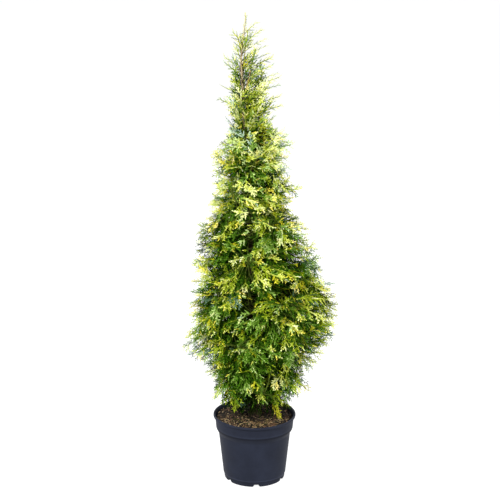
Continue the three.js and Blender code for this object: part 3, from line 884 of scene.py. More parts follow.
def outline(z, azimuth):
    """The leafy outline's distance from the stem; in front and behind it is uneven by a rule of its own."""
    z, azimuth = np.asarray(z, float), np.asarray(azimuth, float)
    right = (1 + np.cos(azimuth)) / 2
    r = np.interp(z, OUT_Z, OUT_L) * (1 - right) + np.interp(z, OUT_Z, OUT_R) * right
    bump = read2(lumps, (z - 0.18) / 0.05, (azimuth / (2 * np.pi) % 1) * 9) - 0.5
    knot = read2(knots, (z - 0.18) / 0.032, (azimuth / (2 * np.pi) % 1) * 15) - 0.5
    return r * (0.945 + 0.22 * bump * np.sin(azimuth) ** 2 + (0.20 + 0.09 * np.cos(azimuth) ** 2) * knot)


def spread(p):
    """Distance from the stem as a share of the outline's."""
    d = p - trunk_at(p[:, 2])
    return np.hypot(d[:, 0], d[:, 1]) / np.maximum(0.012, outline(p[:, 2], np.arctan2(d[:, 1], d[:, 0])))


def spacing(z):
    """Room between frond tips at a height."""
    return np.interp(z, [0.18, 0.35, 0.60, 0.85, 1.00, 1.06, 1.12], ROOM)


def underside(p):
    """The lowest height of leaves: higher in front, where the soil shows."""
    az = np.arctan2(p[:, 1], p[:, 0])
    front = np.clip(-np.sin(az), 0, 1) ** 1.5
    return 0.200 + 0.048 * front


ROOM = [0.0212, 0.0222, 0.0224, 0.0212, 0.0208, 0.0232, 0.0300]
SHELLS = [  # share of the outline from, to, room factor, coarseness
    (0.86, 1.05, 1.00, 1.00),
    (0.66, 0.86, 0.98, 1.00),
    (0.40, 0.70, 0.88, 1.40),
    (0.14, 0.40, 0.98, 1.80),
]


LONG = [  # tips of fronds that stand out from the outline at the sides: x, y, height
    (-0.104, 0.010, 0.891), (-0.105, -0.012, 0.845), (-0.108, 0.020, 0.802), (-0.118, -0.010, 0.754),
    (-0.144, 0.012, 0.694), (-0.148, -0.016, 0.651), (-0.156, 0.008, 0.604), (-0.163, -0.020, 0.550),
    (-0.163, 0.022, 0.509), (-0.166, -0.006, 0.481), (-0.170, 0.018, 0.447), (-0.189, -0.004, 0.366),
    (-0.178, 0.020, 0.384), (-0.170, -0.024, 0.352), (-0.126, 0.010, 0.290), (-0.106, -0.010, 0.222),
    (0.096, -0.004, 0.910), (0.087, 0.016, 0.846), (0.082, -0.018, 0.877), (0.119, 0.004, 0.793),
    (0.098, 0.020, 0.764), (0.156, -0.006, 0.651), (0.139, 0.018, 0.681), (0.171, 0.004, 0.607),
    (0.204, -0.010, 0.543), (0.207, 0.012, 0.474), (0.196, -0.030, 0.505), (0.206, 0.004, 0.395),
    (0.180, -0.016, 0.352), (0.154, 0.010, 0.308), (0.142, -0.008, 0.246), (0.190, 0.030, 0.430),
]


def spray_tips():
    g = np.random.default_rng(606)
    n = 150000
    z = g.uniform(0.196, 1.125, n)
    a = g.uniform(-np.pi, np.pi, n)
    reach = outline(z, a)
    take = g.random(n) < reach / 0.215
    z, a, reach = z[take], a[take], reach[take]
    shell = g.choice(4, len(z), p=[0.30, 0.22, 0.32, 0.16])
    lo, hi, wide, coarse = (np.array([s[k] for s in SHELLS])[shell] for k in range(4))
    rho = (lo + (hi - lo) * g.random(len(z))) * np.where(coarse > 1.1, np.interp(z, [0.70, 1.0], [1.0, 0.65]), 1.0)
    c = trunk_at(z)
    q = np.stack([c[:, 0] + reach * rho * np.cos(a), c[:, 1] + reach * rho * np.sin(a), z], -1)
    room = spacing(z) * wide
    ok = q[:, 2] > underside(q)
    q, room, coarse = q[ok], room[ok], coarse[ok]
    order = np.argsort(coarse, kind="stable")  # the outer ones take their places first
    q, room, coarse = q[order], room[order], coarse[order]
    q, room, coarse = np.vstack([LONG, q]), np.r_[np.zeros(len(LONG)), room], np.r_[np.ones(len(LONG)), coarse]
    out, keep, n = np.full((6000, 3), 9.0), [], 0
    for k, (p, r) in enumerate(zip(q, room, strict=True)):
        if n == 0 or ((out[:n] - p) ** 2).sum(1).min() > r * r:
            out[n] = p
            keep.append(k)
            n += 1
    return q[keep], coarse[keep]


tips, tip_coarse = spray_tips()
print("frond tips", len(tips), "of them coarse", int((tip_coarse > 1).sum()))

# every place on the limbs that a frond can leave from
S_P, S_T, S_M = [], [], []
for name in mass_names:
    m = masses[name]
    line = m["line"]
    tang = unit(np.gradient(line, axis=0))
    lo = 8 if name in bough_names else 2
    S_P.append(line[lo:-3])
    S_T.append(tang[lo:-3])
    S_M.append(np.full(len(line) - 3 - lo, mass_names.index(name)))
# the stem itself carries fronds too, each counted with the mass that it stands in
z = np.linspace(0.2, 1.18, 200)
stem = trunk_at(z)
centres = np.array([masses[n]["c"] for n in mass_names])
S_P.append(stem)
S_T.append(np.repeat([[0.0, 0.0, 1.0]], 200, 0))
S_M.append(np.full(200, -1))
S_P, S_T, S_M = np.vstack(S_P), np.vstack(S_T), np.concatenate(S_M)
inside = spread(S_P) < 0.85
S_P, S_T, S_M = S_P[inside], S_T[inside], S_M[inside]
used = np.zeros(len(S_P))

ELEVATION = [  # elevation of a frond's end, degrees, by height
    (0.18, -46), (0.25, -38), (0.32, -26), (0.40, -14), (0.50, -4), (0.62, 4), (0.75, 10), (0.85, 16), (0.94, 26), (1.04, 40), (1.12, 50), (1.24, 60),
]

twigs = Tubes()
boughs = Tubes()
for name, m in masses.items():
    line, rad = m["line"], m["rad"]
    zs = np.linspace(0, 1, len(line))
    relief = bark_relief(zs * 0.18, 10, 61 + mass_names.index(name), 0.9, 1.0) * (rad * 0.16)[:, None]
    far = spread(line)
    stop = int(np.argmax(far > 0.93)) if (far > 0.93).any() else len(line) - 1
    m["stop"] = stop
    cut = min(38 if name in bough_names else 30, stop - 6, max(14, int(np.argmax(far > 0.55))))
    boughs.add(line[:cut], rad[:cut], 10, 0, relief[:cut])
    last = max(cut + 2, stop - 10)
    twigs.add(line[cut - 1 : last], rad[cut - 1 : last], 5, 2)

fr = []  # fronds


def add_frond(P0, D0, T, Dend, nor, mass, rho, kind, roll=0.0, leafy=None, slim=1.0, fam=None, ends=(0.36, 0.36), coarse=1.0):
    L = float(np.linalg.norm(T - P0))
    for ease in (1.0, 0.6, 0.3):
        path = bezier(P0, P0 + D0 * L * ends[0] * ease, T - Dend * L * ends[1] * ease, T, 40)
        if float(spread(path).max()) < max(1.04, float(spread(T[None])[0]) + 0.05):
            break
    seg = np.r_[0, np.cumsum(np.linalg.norm(np.diff(path, axis=0), axis=1))]
    total = seg[-1]
    want = np.linspace(0, total, 40)
    path = np.stack([np.interp(want, seg, path[:, c]) for c in range(3)], -1)
    tg = unit(np.gradient(path, axis=0))
    nn = unit(nor[None] - tg * (tg @ nor)[:, None])
    side = np.cross(nn, tg)
    nn = nn * math.cos(roll) + side * math.sin(roll)
    fr.append({"path": path, "tan": tg, "nor": nn, "len": total, "mass": mass, "T": T, "rho": rho, "kind": kind, "leafy": leafy, "slim": slim, "fam": fam, "coarse": coarse})
    r0 = min(0.0013, 0.0005 + total * 0.004)
    if kind == "leader":
        return
    rr = np.linspace(r0, 0.0004, 8)
    pts = path[np.linspace(0, 37, 8).astype(int)]
    twigs.add(pts, rr, 3, np.where(np.arange(7) < (3 if float(spread(P0[None])[0]) < 0.45 else 0), 0, 2))


for k, T in enumerate(tips):
    g = np.random.default_rng(5000 + k)
    axis = trunk_at(T[2])
    off = T - axis
    out = unit(np.r_[off[:2], 0])
    rho = float(spread(T[None])[0])
    elev = math.radians(np.interp(T[2], [r[0] for r in ELEVATION], [r[1] for r in ELEVATION]) + g.normal(0, 9))
    # most in front and behind, and some at the sides, fan out sideways and droop, so that their flats show
    plain = g.normal(0, 0.30)
    if k >= len(LONG) and g.random() < 0.80 - 0.68 * out[0] ** 2 and T[2] < 0.97:
        turn = g.uniform(0.50, 1.25) * (1 if g.random() < 0.5 else -1)
        turns = [turn, -turn, plain]
    else:
        turns = [plain]
    leafy = g.uniform(0.062, 0.090) * (1 + 0.12 * out[0] ** 2)
    if T[2] > 0.97:  # near the tip shoots leave the stem itself
        z0 = T[2] - 0.03
        for _ in range(3):
            hz = np.hypot(*(T - trunk_at(z0))[:2])
            z0 = float(np.clip(T[2] - hz * (1.0 + 0.35 * g.random()) - 0.008, 0.88, 1.19))
        P0 = trunk_at(z0)
        way = T - P0
        if np.linalg.norm(way) < 0.022:
            continue
        mass = mass_names[int(np.argmin(((centres - T) ** 2).sum(1)))]
        turn = plain
        ahead = np.array([out[0] * math.cos(turn) - out[1] * math.sin(turn), out[0] * math.sin(turn) + out[1] * math.cos(turn), 0.0])
        Dend = ahead * math.cos(elev) + np.array([0, 0, math.sin(elev)])
        Dend = unit(Dend * 0.6 + unit(way) * 0.6)
        D0 = unit(unit(way) + [0, 0, 0.5])
        face = np.array([0.0, math.tanh(off[1] / 0.03), 0.0])
        add_frond(P0, D0, T, Dend, np.array([0, 0, 1.0]) * 0.4 + out * 0.3 + face * 0.7, mass, rho, "frond", roll=g.normal(0, 0.5), leafy=min(leafy, 0.85 * float(np.linalg.norm(way))), slim=0.74)
        continue
    # the frond's leafy end flows the way its neighbours' do; its bare foot runs back to the best place on a limb
    far = np.linalg.norm(T - S_P, axis=1)
    found = None
    for turn in turns:
        e = elev - (math.radians(14) if abs(turn) > 0.45 and len(turns) > 1 else 0)
        ahead = np.array([out[0] * math.cos(turn) - out[1] * math.sin(turn), out[0] * math.sin(turn) + out[1] * math.cos(turn), 0.0])
        way = ahead * math.cos(e) + np.array([0, 0, math.sin(e)])
        B = T - way * leafy * 0.9
        d = B - S_P
        dist = np.linalg.norm(d, axis=1)
        ang = np.arccos(np.clip((d * S_T).sum(1) / np.maximum(dist, 1e-6), -1, 1))
        back = np.clip(-(d @ way), 0, 1)
        score = dist + 0.012 * np.abs(ang - 0.8) + 0.9 * back + 0.7 * np.clip(0.060 - far, 0, 1) + 0.0085 * used + 0.012 * (S_M < 0)
        low = float(score.min()) + (0.030 if turn == plain and len(turns) > 1 else 0) + 0.25 * max(0.0, float(spread(B[None])[0]) - 0.85)
        if found is None or low < found[0]:
            found = (low, int(np.argmin(score)), way, turn)
    _, i, Dend, turn = found
    used[max(0, i - 3) : i + 4] += 1
    mass = mass_names[S_M[i] if S_M[i] >= 0 else int(np.argmin(((centres - T) ** 2).sum(1)))]
    P0, D = S_P[i], S_T[i]
    way = T - P0
    L = float(np.linalg.norm(way))
    if L < 0.022:
        continue
    D0 = unit(D * 0.55 + unit(way) * 0.6 + np.array([0, 0, 0.35]))
    face = np.array([0.0, math.tanh(off[1] / 0.03), 0.0])  # the flat side turns to the light in front, or to the back
    if k < len(LONG) or (abs(turn) < 0.5 and g.random() < 0.22 + 0.74 * out[0] ** 2):  # held on edge, as most are at the sides
        nor = np.array([-out[1], out[0], 0.0]) * (1.0 if g.random() < 0.5 else -1.0) * 0.9 + np.array([0, 0, 0.30])
    else:
        nor = np.array([0, 0, 1.0]) * 0.45 + out * 0.55 + face * 0.40
    add_frond(P0, D0, T, Dend, nor, mass, rho, "frond", roll=g.normal(0, 0.18 if k < len(LONG) else 0.24), leafy=min(leafy, 0.9 * L), slim=1.20 if k < len(LONG) else 1.0 + 0.08 * out[0] ** 2, ends=(0.30, 0.52), coarse=float(tip_coarse[k]))
    fr[-1]["fern"] = k < len(LONG)

# every limb ends in a leafy frond of its own
for k, name in enumerate(mass_names):
    m = masses[name]
    line, stop = m["line"], m["stop"]
    g = np.random.default_rng(7400 + k)
    i = max(0, stop - 22)
    way = line[stop] - line[i]
    L = float(np.linalg.norm(way))
    if L < 0.02:
        continue
    tang = unit(line[i + 1] - line[i])
    ahead = unit(line[stop] - line[stop - 2])
    nor = np.array([0, 0, 1.0]) * 0.5 + m["out"] * 0.4 + np.array([0.0, math.tanh(line[stop][1] / 0.03), 0.0]) * 0.6
    add_frond(line[i], tang, line[stop], unit(ahead + [0, 0, -0.15]), nor, name, 0.95, "frond", roll=g.normal(0, 0.4), leafy=min(0.09, L * 0.9))

# shoots near the tip, seen one by one: height where each leaves the stem, then its own tip
SHOOTS = [
    (1.182, 0.0050, -0.006, 1.217), (1.156, 0.0190, 0.004, 1.198), (1.134, 0.0300, -0.010, 1.178),
    (1.118, 0.0300, 0.012, 1.157), (1.100, 0.0350, -0.004, 1.140), (1.084, 0.0450, 0.006, 1.129),
    (1.066, 0.0440, -0.020, 1.112), (1.046, 0.0590, -0.003, 1.090), (1.034, 0.0660, 0.016, 1.079),
    (1.020, 0.0630, -0.014, 1.063), (0.990, 0.0660, 0.004, 1.032), (0.966, 0.0700, -0.006, 1.010),
    (1.160, -0.0550, -0.002, 1.192), (1.126, -0.0540, 0.006, 1.156), (1.088, -0.0770, -0.002, 1.132),
    (1.074, -0.0750, -0.016, 1.118), (1.020, -0.0860, 0.010, 1.058), (0.986, -0.0900, -0.008, 1.026),
    (1.150, -0.026, -0.024, 1.184), (1.122, -0.022, 0.030, 1.160), (1.104, -0.036, -0.034, 1.142),
    (1.082, -0.022, 0.044, 1.122), (1.060, -0.030, -0.046, 1.100), (1.046, 0.006, 0.050, 1.090),
    (1.108, 0.004, -0.026, 1.146), (1.090, 0.000, 0.034, 1.130), (1.066, 0.014, -0.044, 1.108),
]
g = np.random.default_rng(8555)
for k in range(34):  # and more of them, all round the stem
    z0 = 0.985 + 0.172 * (k + g.random()) / 34
    a = math.radians(137.5 * k + g.normal(0, 12))
    rise = g.uniform(0.030, 0.046)
    r = float(outline(z0 + rise, a)) * g.uniform(0.62, 0.98)
    r = max(r, 0.016)
    c = trunk_at(min(1.23, z0 + rise))
    SHOOTS.append((z0, float(c[0] + r * math.cos(a)), float(c[1] + r * math.sin(a)), z0 + rise))
for k, (z0, x, y, z) in enumerate(SHOOTS):
    g = np.random.default_rng(8600 + k)
    P0, T = trunk_at(z0), np.array([x, y, z])
    way = unit(T - P0)
    D0 = unit(way + [0, 0, 0.40])
    Dend = unit(way + np.r_[way[:2], 0] * 0.25)
    nor = np.array([0.1, -0.75, 0.6])
    L = np.linalg.norm(T - P0)
    add_frond(P0, D0, T, Dend, nor, "crest_1", 0.95, "shoot", roll=g.normal(0, 0.4), leafy=L * 0.84, slim=1.0, coarse=0.78)

# the leader's own top, set with short scale-leaved twigs
lead = trunk_at(np.linspace(1.128, TRUNK_TIP - 0.001, 40))
for k in range(2):
    tg = unit(np.gradient(lead, axis=0))
    nor = np.array([math.cos(k * 1.6), math.sin(k * 1.6), 0.0])
    nn = unit(nor[None] - tg * (tg @ nor)[:, None])
    fr.append({"path": lead, "tan": tg, "nor": nn, "len": 0.109, "mass": "crest_1", "T": lead[-1], "rho": 0.9, "kind": "leader", "leafy": 0.105, "slim": 1.0, "fam": 4, "coarse": 0.80})

# sprays that hang over the rim in front, and a few long ones at the sides
HANGING = [
    (0.068, -0.060, 0.191, 3), (0.060, -0.066, 0.220, 2), (-0.052, -0.056, 0.208, 2), (-0.062, -0.040, 0.224, 3),
    (0.092, -0.020, 0.205, 0), (-0.088, -0.014, 0.212, 2), (-0.104, 0.010, 0.222, 0), (0.108, 0.012, 0.224, 0),
    (-0.012, -0.034, 0.190, 0), (0.016, -0.038, 0.192, 0), (0.001, -0.046, 0.202, 0), (-0.030, -0.040, 0.200, 0),
    (0.034, -0.044, 0.202, 0), (0.010, -0.074, 0.240, 0), (-0.018, -0.070, 0.236, 0), (0.034, -0.074, 0.236, 0), (-0.036, -0.066, 0.228, 1),
]
for k, (x, y, z, fam) in enumerate(HANGING):
    g = np.random.default_rng(8700 + k)
    T = np.array([x, y, z])
    d = T - S_P
    dist = np.linalg.norm(d, axis=1)
    high = (S_P[:, 2] > z + 0.035) & (S_P[:, 2] < z + 0.11)
    i = int(np.argmin(np.where(high, np.abs(dist - 0.085), 9)))
    P0 = S_P[i]
    out = unit(np.r_[(T - trunk_at(z))[:2], 0])
    e = math.radians(-62)
    add_frond(P0, unit(out + [0, 0, 0.25]), T, unit(out * math.cos(e) + [0, 0, math.sin(e)]), out + [0, 0, 0.35], mass_names[max(S_M[i], 0)], 0.95, "hanging", roll=g.normal(0, 0.15), leafy=0.062, slim=1.1, fam=fam)

# sprays under the skirt, between the stem and the rim, mostly behind; they are coarse and deep in the crown, so the
# shade rule paints them dark as painted shade
for k in range(74):
    g = np.random.default_rng(8800 + k)
    a = math.radians(90 + (k * 137.5) % 360 * 0.72 - 130)
    r = g.uniform(0.030, 0.094)
    T = np.array([r * math.cos(a), r * math.sin(a), g.uniform(0.187, 0.212)])
    out = unit(np.r_[T[:2], 0])
    if T[1] < -0.03:
        T[2] += 0.02
    P0 = trunk_at(T[2] + g.uniform(0.035, 0.075))
    e = math.radians(g.uniform(-50, -20))
    Dend = unit(out * math.cos(e) + [0, 0, math.sin(e)])
    mass = min(mass_names, key=lambda n: ((masses[n]["c"] - T) ** 2).sum())
    add_frond(P0, unit(out + [0, 0, 0.5]), T, Dend, out * 0.5 + [0, 0, 0.8], mass, 0.30, "frond", roll=g.normal(0, 0.4), leafy=0.075, fam=[0, 0, 1][k % 3], coarse=1.4)

print("fronds", len(fr))

# ------------------------------------------------------------------ the dark cleft in front of the stem, and small gaps of sky
def on_plane(p):
    """Where the line from the camera through p meets the plane of the stem."""
    s = (0.0 - CAM_AT[1]) / (p[:, 1] - CAM_AT[1])
    return CAM_AT + (p - CAM_AT) * s[:, None]


CLEFT = [(0.435, 0.0), (0.445, 0.010), (0.50, 0.012), (0.525, 0.008), (0.535, 0.0), (0.55, 0.009), (0.58, 0.007), (0.595, 0.0), (0.62, 0.0), (0.635, 0.009), (0.70, 0.009), (0.74, 0.006), (0.76, 0.0), (0.905, 0.0), (0.915, 0.005), (0.955, 0.005), (0.965, 0.0), (1.035, 0.0), (1.045, 0.004), (1.14, 0.004), (1.15, 0.0)]
SKY = [
    (-0.0760, 0.876, 0.006, 0.010), (-0.0335, 0.786, 0.005, 0.007), (-0.0780, 0.443, 0.007, 0.008), (-0.0560, 0.905, 0.004, 0.005),
    (0.130, 0.452, 0.006, 0.004), (-0.1020, 0.797, 0.009, 0.006), (-0.0947, 0.512, 0.008, 0.007), (-0.1120, 0.675, 0.008, 0.004),
    (0.063, 0.912, 0.006, 0.004), (0.1487, 0.391, 0.007, 0.006),
]


def in_cleft(p):
    q = on_plane(p)
    w = 1.25 * np.interp(q[:, 2], [c[0] for c in CLEFT], [c[1] for c in CLEFT])
    return (np.abs(q[:, 0] - trunk_at(q[:, 2])[:, 0]) < w) & (p[:, 1] < np.where(q[:, 2] > 0.9, -0.004, -0.012))


def in_sky(p):
    q = on_plane(p)
    hit = np.zeros(len(p), bool)
    for x, z, rx, rz in SKY:
        hit |= ((q[:, 0] - x) / rx) ** 2 + ((q[:, 2] - z) / rz) ** 2 < 1
    return hit


# ------------------------------------------------------------------ sprays on the fronds
PITCH = {"leader": 0.0054, "shoot": 0.0070, "frond": 0.0070, "hanging": 0.0066}
FOOT = {"leader": 0.0092, "shoot": 0.0074, "frond": 0.0088, "hanging": 0.0080}
mass_id = {n: i for i, n in enumerate(mass_names)}
P0s, D0s, D1s, NN, LL, FAM, SH, MS, CO, BR = [], [], [], [], [], [], [], [], [], []
AX = []
for k, F in enumerate(fr):
    g = np.random.default_rng(20000 + k)
    total, z, slim, kind, coarse = F["len"], F["T"][2], F["slim"], F["kind"], F["coarse"]
    leafy = min(F["leafy"] or 0.085, total * 0.95)
    pitch = PITCH[kind] * (0.5 + 0.5 * coarse)
    # some fronds are plain combs, and some are ferns, whose plumes have fingers of their own
    fern = kind in ("frond", "hanging") and (g.random() < 0.68 or F.get("fern", False))
    n = max(4, int(leafy / (pitch * (1.50 if fern else 1.0))))
    t = (np.arange(n) + 0.4) / n
    if fern:  # closer together towards the end
        t = 1.6 * (1 - np.exp(-0.9808 * t))
    elif kind == "frond":
        t = 3.5 * (1 - np.exp(-0.3365 * t))
    s = total - leafy + t * leafy + g.normal(0, 0.0008, n)
    u = np.clip(s / total, 0, 0.998) * 39
    i = np.floor(u).astype(int)
    fu = (u - i)[:, None]
    P = F["path"][i] * (1 - fu) + F["path"][np.minimum(i + 1, 39)] * fu
    T = F["tan"][i]
    N = F["nor"][i]
    v = (s - (total - leafy)) / leafy
    if kind == "leader":
        wmax = 0.002
    elif kind == "shoot":
        wmax = 0.0110 * g.uniform(0.75, 1.2)
    else:
        wmax = np.clip(0.16 * leafy, 0.006, 0.013) * g.uniform(0.80, 1.25) * slim
    prof = np.minimum(1, (v + 0.15) / 0.30) ** 0.7 * np.clip(1 - v, 0, 1) ** 0.50
    L2 = wmax * prof * g.uniform(0.75, 1.18, n) + FOOT[kind] * (1 - 0.15 * v)
    broad = np.full(n, fern) & (v < 0.78)
    L2 = np.where(broad, L2 + (0.003 + 0.15 * leafy * np.clip(1 - v, 0, 1) ** 0.8) * g.uniform(0.7, 1.15, n) * slim, L2)
    side = np.where((np.arange(n) + g.integers(0, 2)) % 2 == 0, 1.0, -1.0)[:, None]
    S = np.cross(N, T)
    up = (S * side)[:, 2]  # those on the upper side lean further forward
    ang = np.radians((50 if kind == "frond" else 46 if kind == "shoot" else 30) - 9 * v - 12 * np.clip(up, -0.6, 1) + g.normal(0, 3.5, n))[:, None]
    tilt = g.normal(0.04, 0.08, n)[:, None]
    d0 = unit(T * np.cos(ang) + S * side * np.sin(ang) + N * tilt)
    droop = np.interp(z, [0.2, 0.8, 0.95, 1.2], [-0.42, -0.34, -0.12, 0.04])
    d1 = unit(d0 * 0.60 + T * (0.26 if kind == "shoot" else 0.44) + np.array([0, 0, droop]) + g.normal(0, 0.06, (n, 3)))
    # which colours the frond and its sprays take
    x = g.random()
    if F["fam"] is not None:
        base, mixed = F["fam"], 0.20
    elif z > 1.0:
        base, mixed = (0 if x < 0.30 else 2 if x < 0.80 else 3 if x < 0.84 else 4 if x < 0.98 else 1), 0.26
    else:
        rim = 0.10 * float(np.clip((abs(F["T"][0]) / (np.hypot(F["T"][0], F["T"][1]) + 1e-6) - 0.75) / 0.2, 0, 1))
        green = float(np.interp(z, [0.2, 0.34, 0.50, 0.7], [0.74, 0.66, 0.50, 0.48]))
        base, mixed = (0 if x < green - rim else 1 if x < green + 0.006 + rim else 2 if x < 0.970 else 3), 0.34
    mixed *= float(np.interp(z, [0.2, 0.36, 0.48, 0.8, 1.0], [0.16, 0.40, 0.95, 1.2, 1.2]))
    exposed = float(np.clip((F["rho"] - 0.55) / 0.4, 0, 1))
    yellow = mixed * (0.25 + 0.9 * exposed) * (0.2 + 1.7 * np.clip(v, 0, 1) ** 1.3) * (2.3 if g.random() < 0.42 else 0.3)
    fam = np.where(g.random(n) < yellow, g.choice([0, 1, 2, 3, 4], n, p=[0.08, 0.01, 0.56, 0.31, 0.04]), base)
    rad = P - trunk_at(P[:, 2])
    rho = np.hypot(rad[:, 0], rad[:, 1]) / np.maximum(0.03, outline(P[:, 2], np.arctan2(rad[:, 1], rad[:, 0])))
    # painted shade and light: a spray's colour level falls with depth inside the crown and rises with height (lift) and
    # towards the frond's end, standing in for how the light falls; the older inner foliage is also really darker
    lift = np.interp(z, [0.2, 0.4, 0.6, 0.8, 0.95, 1.05, 1.2], [0.72, 1.04, 1.00, 2.14, 2.80, 2.50, 2.00])
    shade = -2.15 + lift + 2.75 * (np.clip(rho - 0.45, 0, 0.60) / 0.55) ** 1.8 + 1.2 * v + g.normal(0, 0.50, n) + g.normal(0, 0.75)
    # painted shade: sprays at the crown's left and right sides are set a little darker
    edge = np.clip((np.abs(rad[:, 0]) / (np.hypot(rad[:, 0], rad[:, 1]) + 1e-6) - 0.75) / 0.2, 0, 1) * np.clip((rho - 0.75) / 0.2, 0, 1)
    shade = shade - 0.35 * edge
    # painted shade: the coarse inner sprays are set dark, less so higher up
    if coarse > 1.1:
        shade = np.minimum(shade - 0.6 * lift, 0.2) - 0.7 + np.interp(z, [0.5, 0.75, 1.0], [0.0, 0.9, 1.6])
    if kind == "hanging" and F["fam"] in (2, 3):
        shade = np.maximum(shade, 0.9 + 1.0 * v)
    if kind in ("shoot", "leader"):
        shade = 1.10 + 0.9 * v + g.normal(0, 0.5, n)
    fam = np.where((shade < 0.9) & (fam > 1), 0, fam)  # the shaded inside is green
    # sprays stop short of the cleft
    held = g.random(n) < 0.90
    for share in (1.0, 0.8, 0.6, 0.4, 0.2):
        q = P + (d0 * (share - share * share / 2) + d1 * share * share / 2) * L2[:, None]
        L2 = np.where((in_cleft(q) & held) | in_sky(q), L2 * (share - 0.2) / share, L2)
    end = P + (d0 + d1) / 2 * L2[:, None]
    ok = (L2 > 0.004) & ~(in_cleft(P) & held) & ~in_sky(P)
    ok &= (end[:, 0] > cad_lo[0] - 0.006) & (end[:, 0] < cad_hi[0] + 0.006)
    ok &= (np.abs(end[:, 1]) < cad_hi[1] + 0.006) & (end[:, 2] < 1.24)
    ok &= (end[:, 2] > 0.176) & ((end[:, 2] > 0.184) | (np.hypot(end[:, 0], end[:, 1]) < 0.097))
    for bag, val in ((P0s, P), (D0s, d0), (D1s, d1), (NN, N), (LL, L2), (FAM, fam), (SH, shade), (BR, broad)):
        bag.append(val[ok])
    MS.append(np.full(ok.sum(), mass_id[F["mass"]]))
    CO.append(np.full(ok.sum(), coarse))
    # the frond's own leafy axis, its scales at the frond's mean level and lighter towards the end, as painted light
    na = max(4, int(leafy / (0.0046 * coarse)))
    sa = total - leafy + np.arange(na) * leafy / na
    ua = np.clip(sa / total, 0, 0.998) * 39
    ia = np.floor(ua).astype(int)
    fa = (ua - ia)[:, None]
    Pa = F["path"][ia] * (1 - fa) + F["path"][np.minimum(ia + 1, 39)] * fa
    va = (sa - (total - leafy)) / leafy
    ka = (va > 0.25) & ~in_cleft(Pa) & ~in_sky(Pa)
    AX.append(
        (
            Pa[ka], F["tan"][ia][ka], F["nor"][ia][ka],
            np.full(ka.sum(), 0.0068 * coarse), ((0.0032 - 0.0006 * va) * min(coarse, 1.3))[ka],
            np.full(ka.sum(), base), (float(np.mean(shade)) + 0.2 + 1.0 * va + g.normal(0, 0.3, na))[ka],
            np.full(ka.sum(), mass_id[F["mass"]]), np.arange(na)[ka] == na - 1,
        )
    )

P0s, D0s, D1s, NN, LL, FAM, SH, MS, CO, BR = (np.concatenate(a) for a in (P0s, D0s, D1s, NN, LL, FAM, SH, MS, CO, BR))
print("sprays", len(P0s))

# scale pairs, each as base, direction, normal, length, width, family, shade, mass, and whether it ends a finger
K = [tuple(np.concatenate([a[c] for a in AX]) for c in range(9))]


def along_spray(p0, d0, d1, L, u):
    u = u[:, None]
    L = L[:, None]
    return p0 + L * (d0 * (u - u * u / 2) + d1 * u * u / 2), unit(d0 * (1 - u) + d1 * u)


# scales on the sprays' own axes
na = np.maximum(2, np.round(LL / (0.0048 * CO)).astype(int))
idx = np.repeat(np.arange(len(LL)), na)
j = np.arange(len(idx)) - np.repeat(np.cumsum(na) - na, na)
u = j / na[idx]
P, T = along_spray(P0s[idx], D0s[idx], D1s[idx], LL[idx], u)
N = unit(NN[idx] - T * (NN[idx] * T).sum(1, keepdims=True))
# painted light: the spray's axis scales lighter towards its end
K.append((P, T, N, (LL / na)[idx] * 1.45, (0.0029 - 0.0006 * u) * np.minimum(CO[idx], 1.3), FAM[idx], SH[idx] + 0.1 + 0.8 * u, MS[idx], j == na[idx] - 1))

# branchlets
n3 = np.maximum(2, np.round(LL / (np.where(BR, 0.0058, 0.0060) * CO)).astype(int))
idx = np.repeat(np.arange(len(LL)), n3)
j = np.arange(len(idx)) - np.repeat(np.cumsum(n3) - n3, n3)
u = (j + 0.6) / n3[idx]
par = rng.integers(0, 2, len(LL))[idx]
side = np.where((j + par) % 2 == 0, 1.0, -1.0)[:, None]
P, T = along_spray(P0s[idx], D0s[idx], D1s[idx], LL[idx], u)
N = unit(NN[idx] - T * (NN[idx] * T).sum(1, keepdims=True))
S = np.cross(N, T)
br = BR[idx]
ang = np.radians(np.where(br, 45, 33) - 9 * u + rng.normal(0, 6, len(u)))[:, None]
B = unit(T * np.cos(ang) + S * side * np.sin(ang) + N * rng.normal(0.0, 0.08, (len(u), 1)))
L3 = np.where(br, 0.0084 + LL[idx] * 0.13, 0.0052) * np.minimum(1, (u + 0.45) / 0.60) * (1 - u) ** 0.40 * rng.uniform(0.75, 1.25, len(u)) * CO[idx] ** 0.5
L3 = np.clip(np.minimum(L3, LL[idx] * 0.62), 0, 0.0140 * CO[idx])
keep = (L3 > 0.0022) & (br | (rng.random(len(L3)) < 0.18) | (CO[idx] > 1.1))
P, T, N, B, L3, idx, u = P[keep], T[keep], N[keep], B[keep], L3[keep], idx[keep], u[keep]
print("branchlets", len(P))
NB = unit(np.cross(B, np.cross(N, B)) + np.cross(N, B) * rng.normal(0, 0.20, (len(P), 1)))
n4 = np.where(CO[idx] > 1.1, 1, np.clip(np.round(L3 / 0.0056).astype(int), 1, 3))
ix = np.repeat(np.arange(len(P)), n4)
m = np.arange(len(ix)) - np.repeat(np.cumsum(n4) - n4, n4)
s = m * (L3 / n4)[ix]
f = (s / L3[ix])[:, None]
bd = unit(B[ix] * (1 - 0.45 * f) + T[ix] * 0.45 * f)
pos = P[ix] + B[ix] * s[:, None] + (T[ix] - B[ix]) * (0.22 * s * s / L3[ix])[:, None]
klen = (L3 / n4)[ix] * np.where(n4[ix] > 1, 1.45, 1.15)
kw = (0.0031 - 0.0004 * f[:, 0]) * np.minimum(1, L3[ix] / 0.007 * 0.5 + 0.5) * np.minimum(CO[idx][ix], 1.3)
kN = unit(NB[ix] - bd * (NB[ix] * bd).sum(1, keepdims=True))
# painted light: finger scales lighter towards the spray's end, towards the finger's tip and where a finger is a single
# scale; plus a random shade per finger
kS = SH[idx][ix] + 0.8 * u[ix] + 0.9 * f[:, 0] + 0.3 * (n4[ix] == 1) + rng.normal(0, 0.55, len(P))[ix]
K.append((pos, bd, kN, klen, kw, FAM[idx][ix], kS, MS[idx][ix], m == n4[ix] - 1))
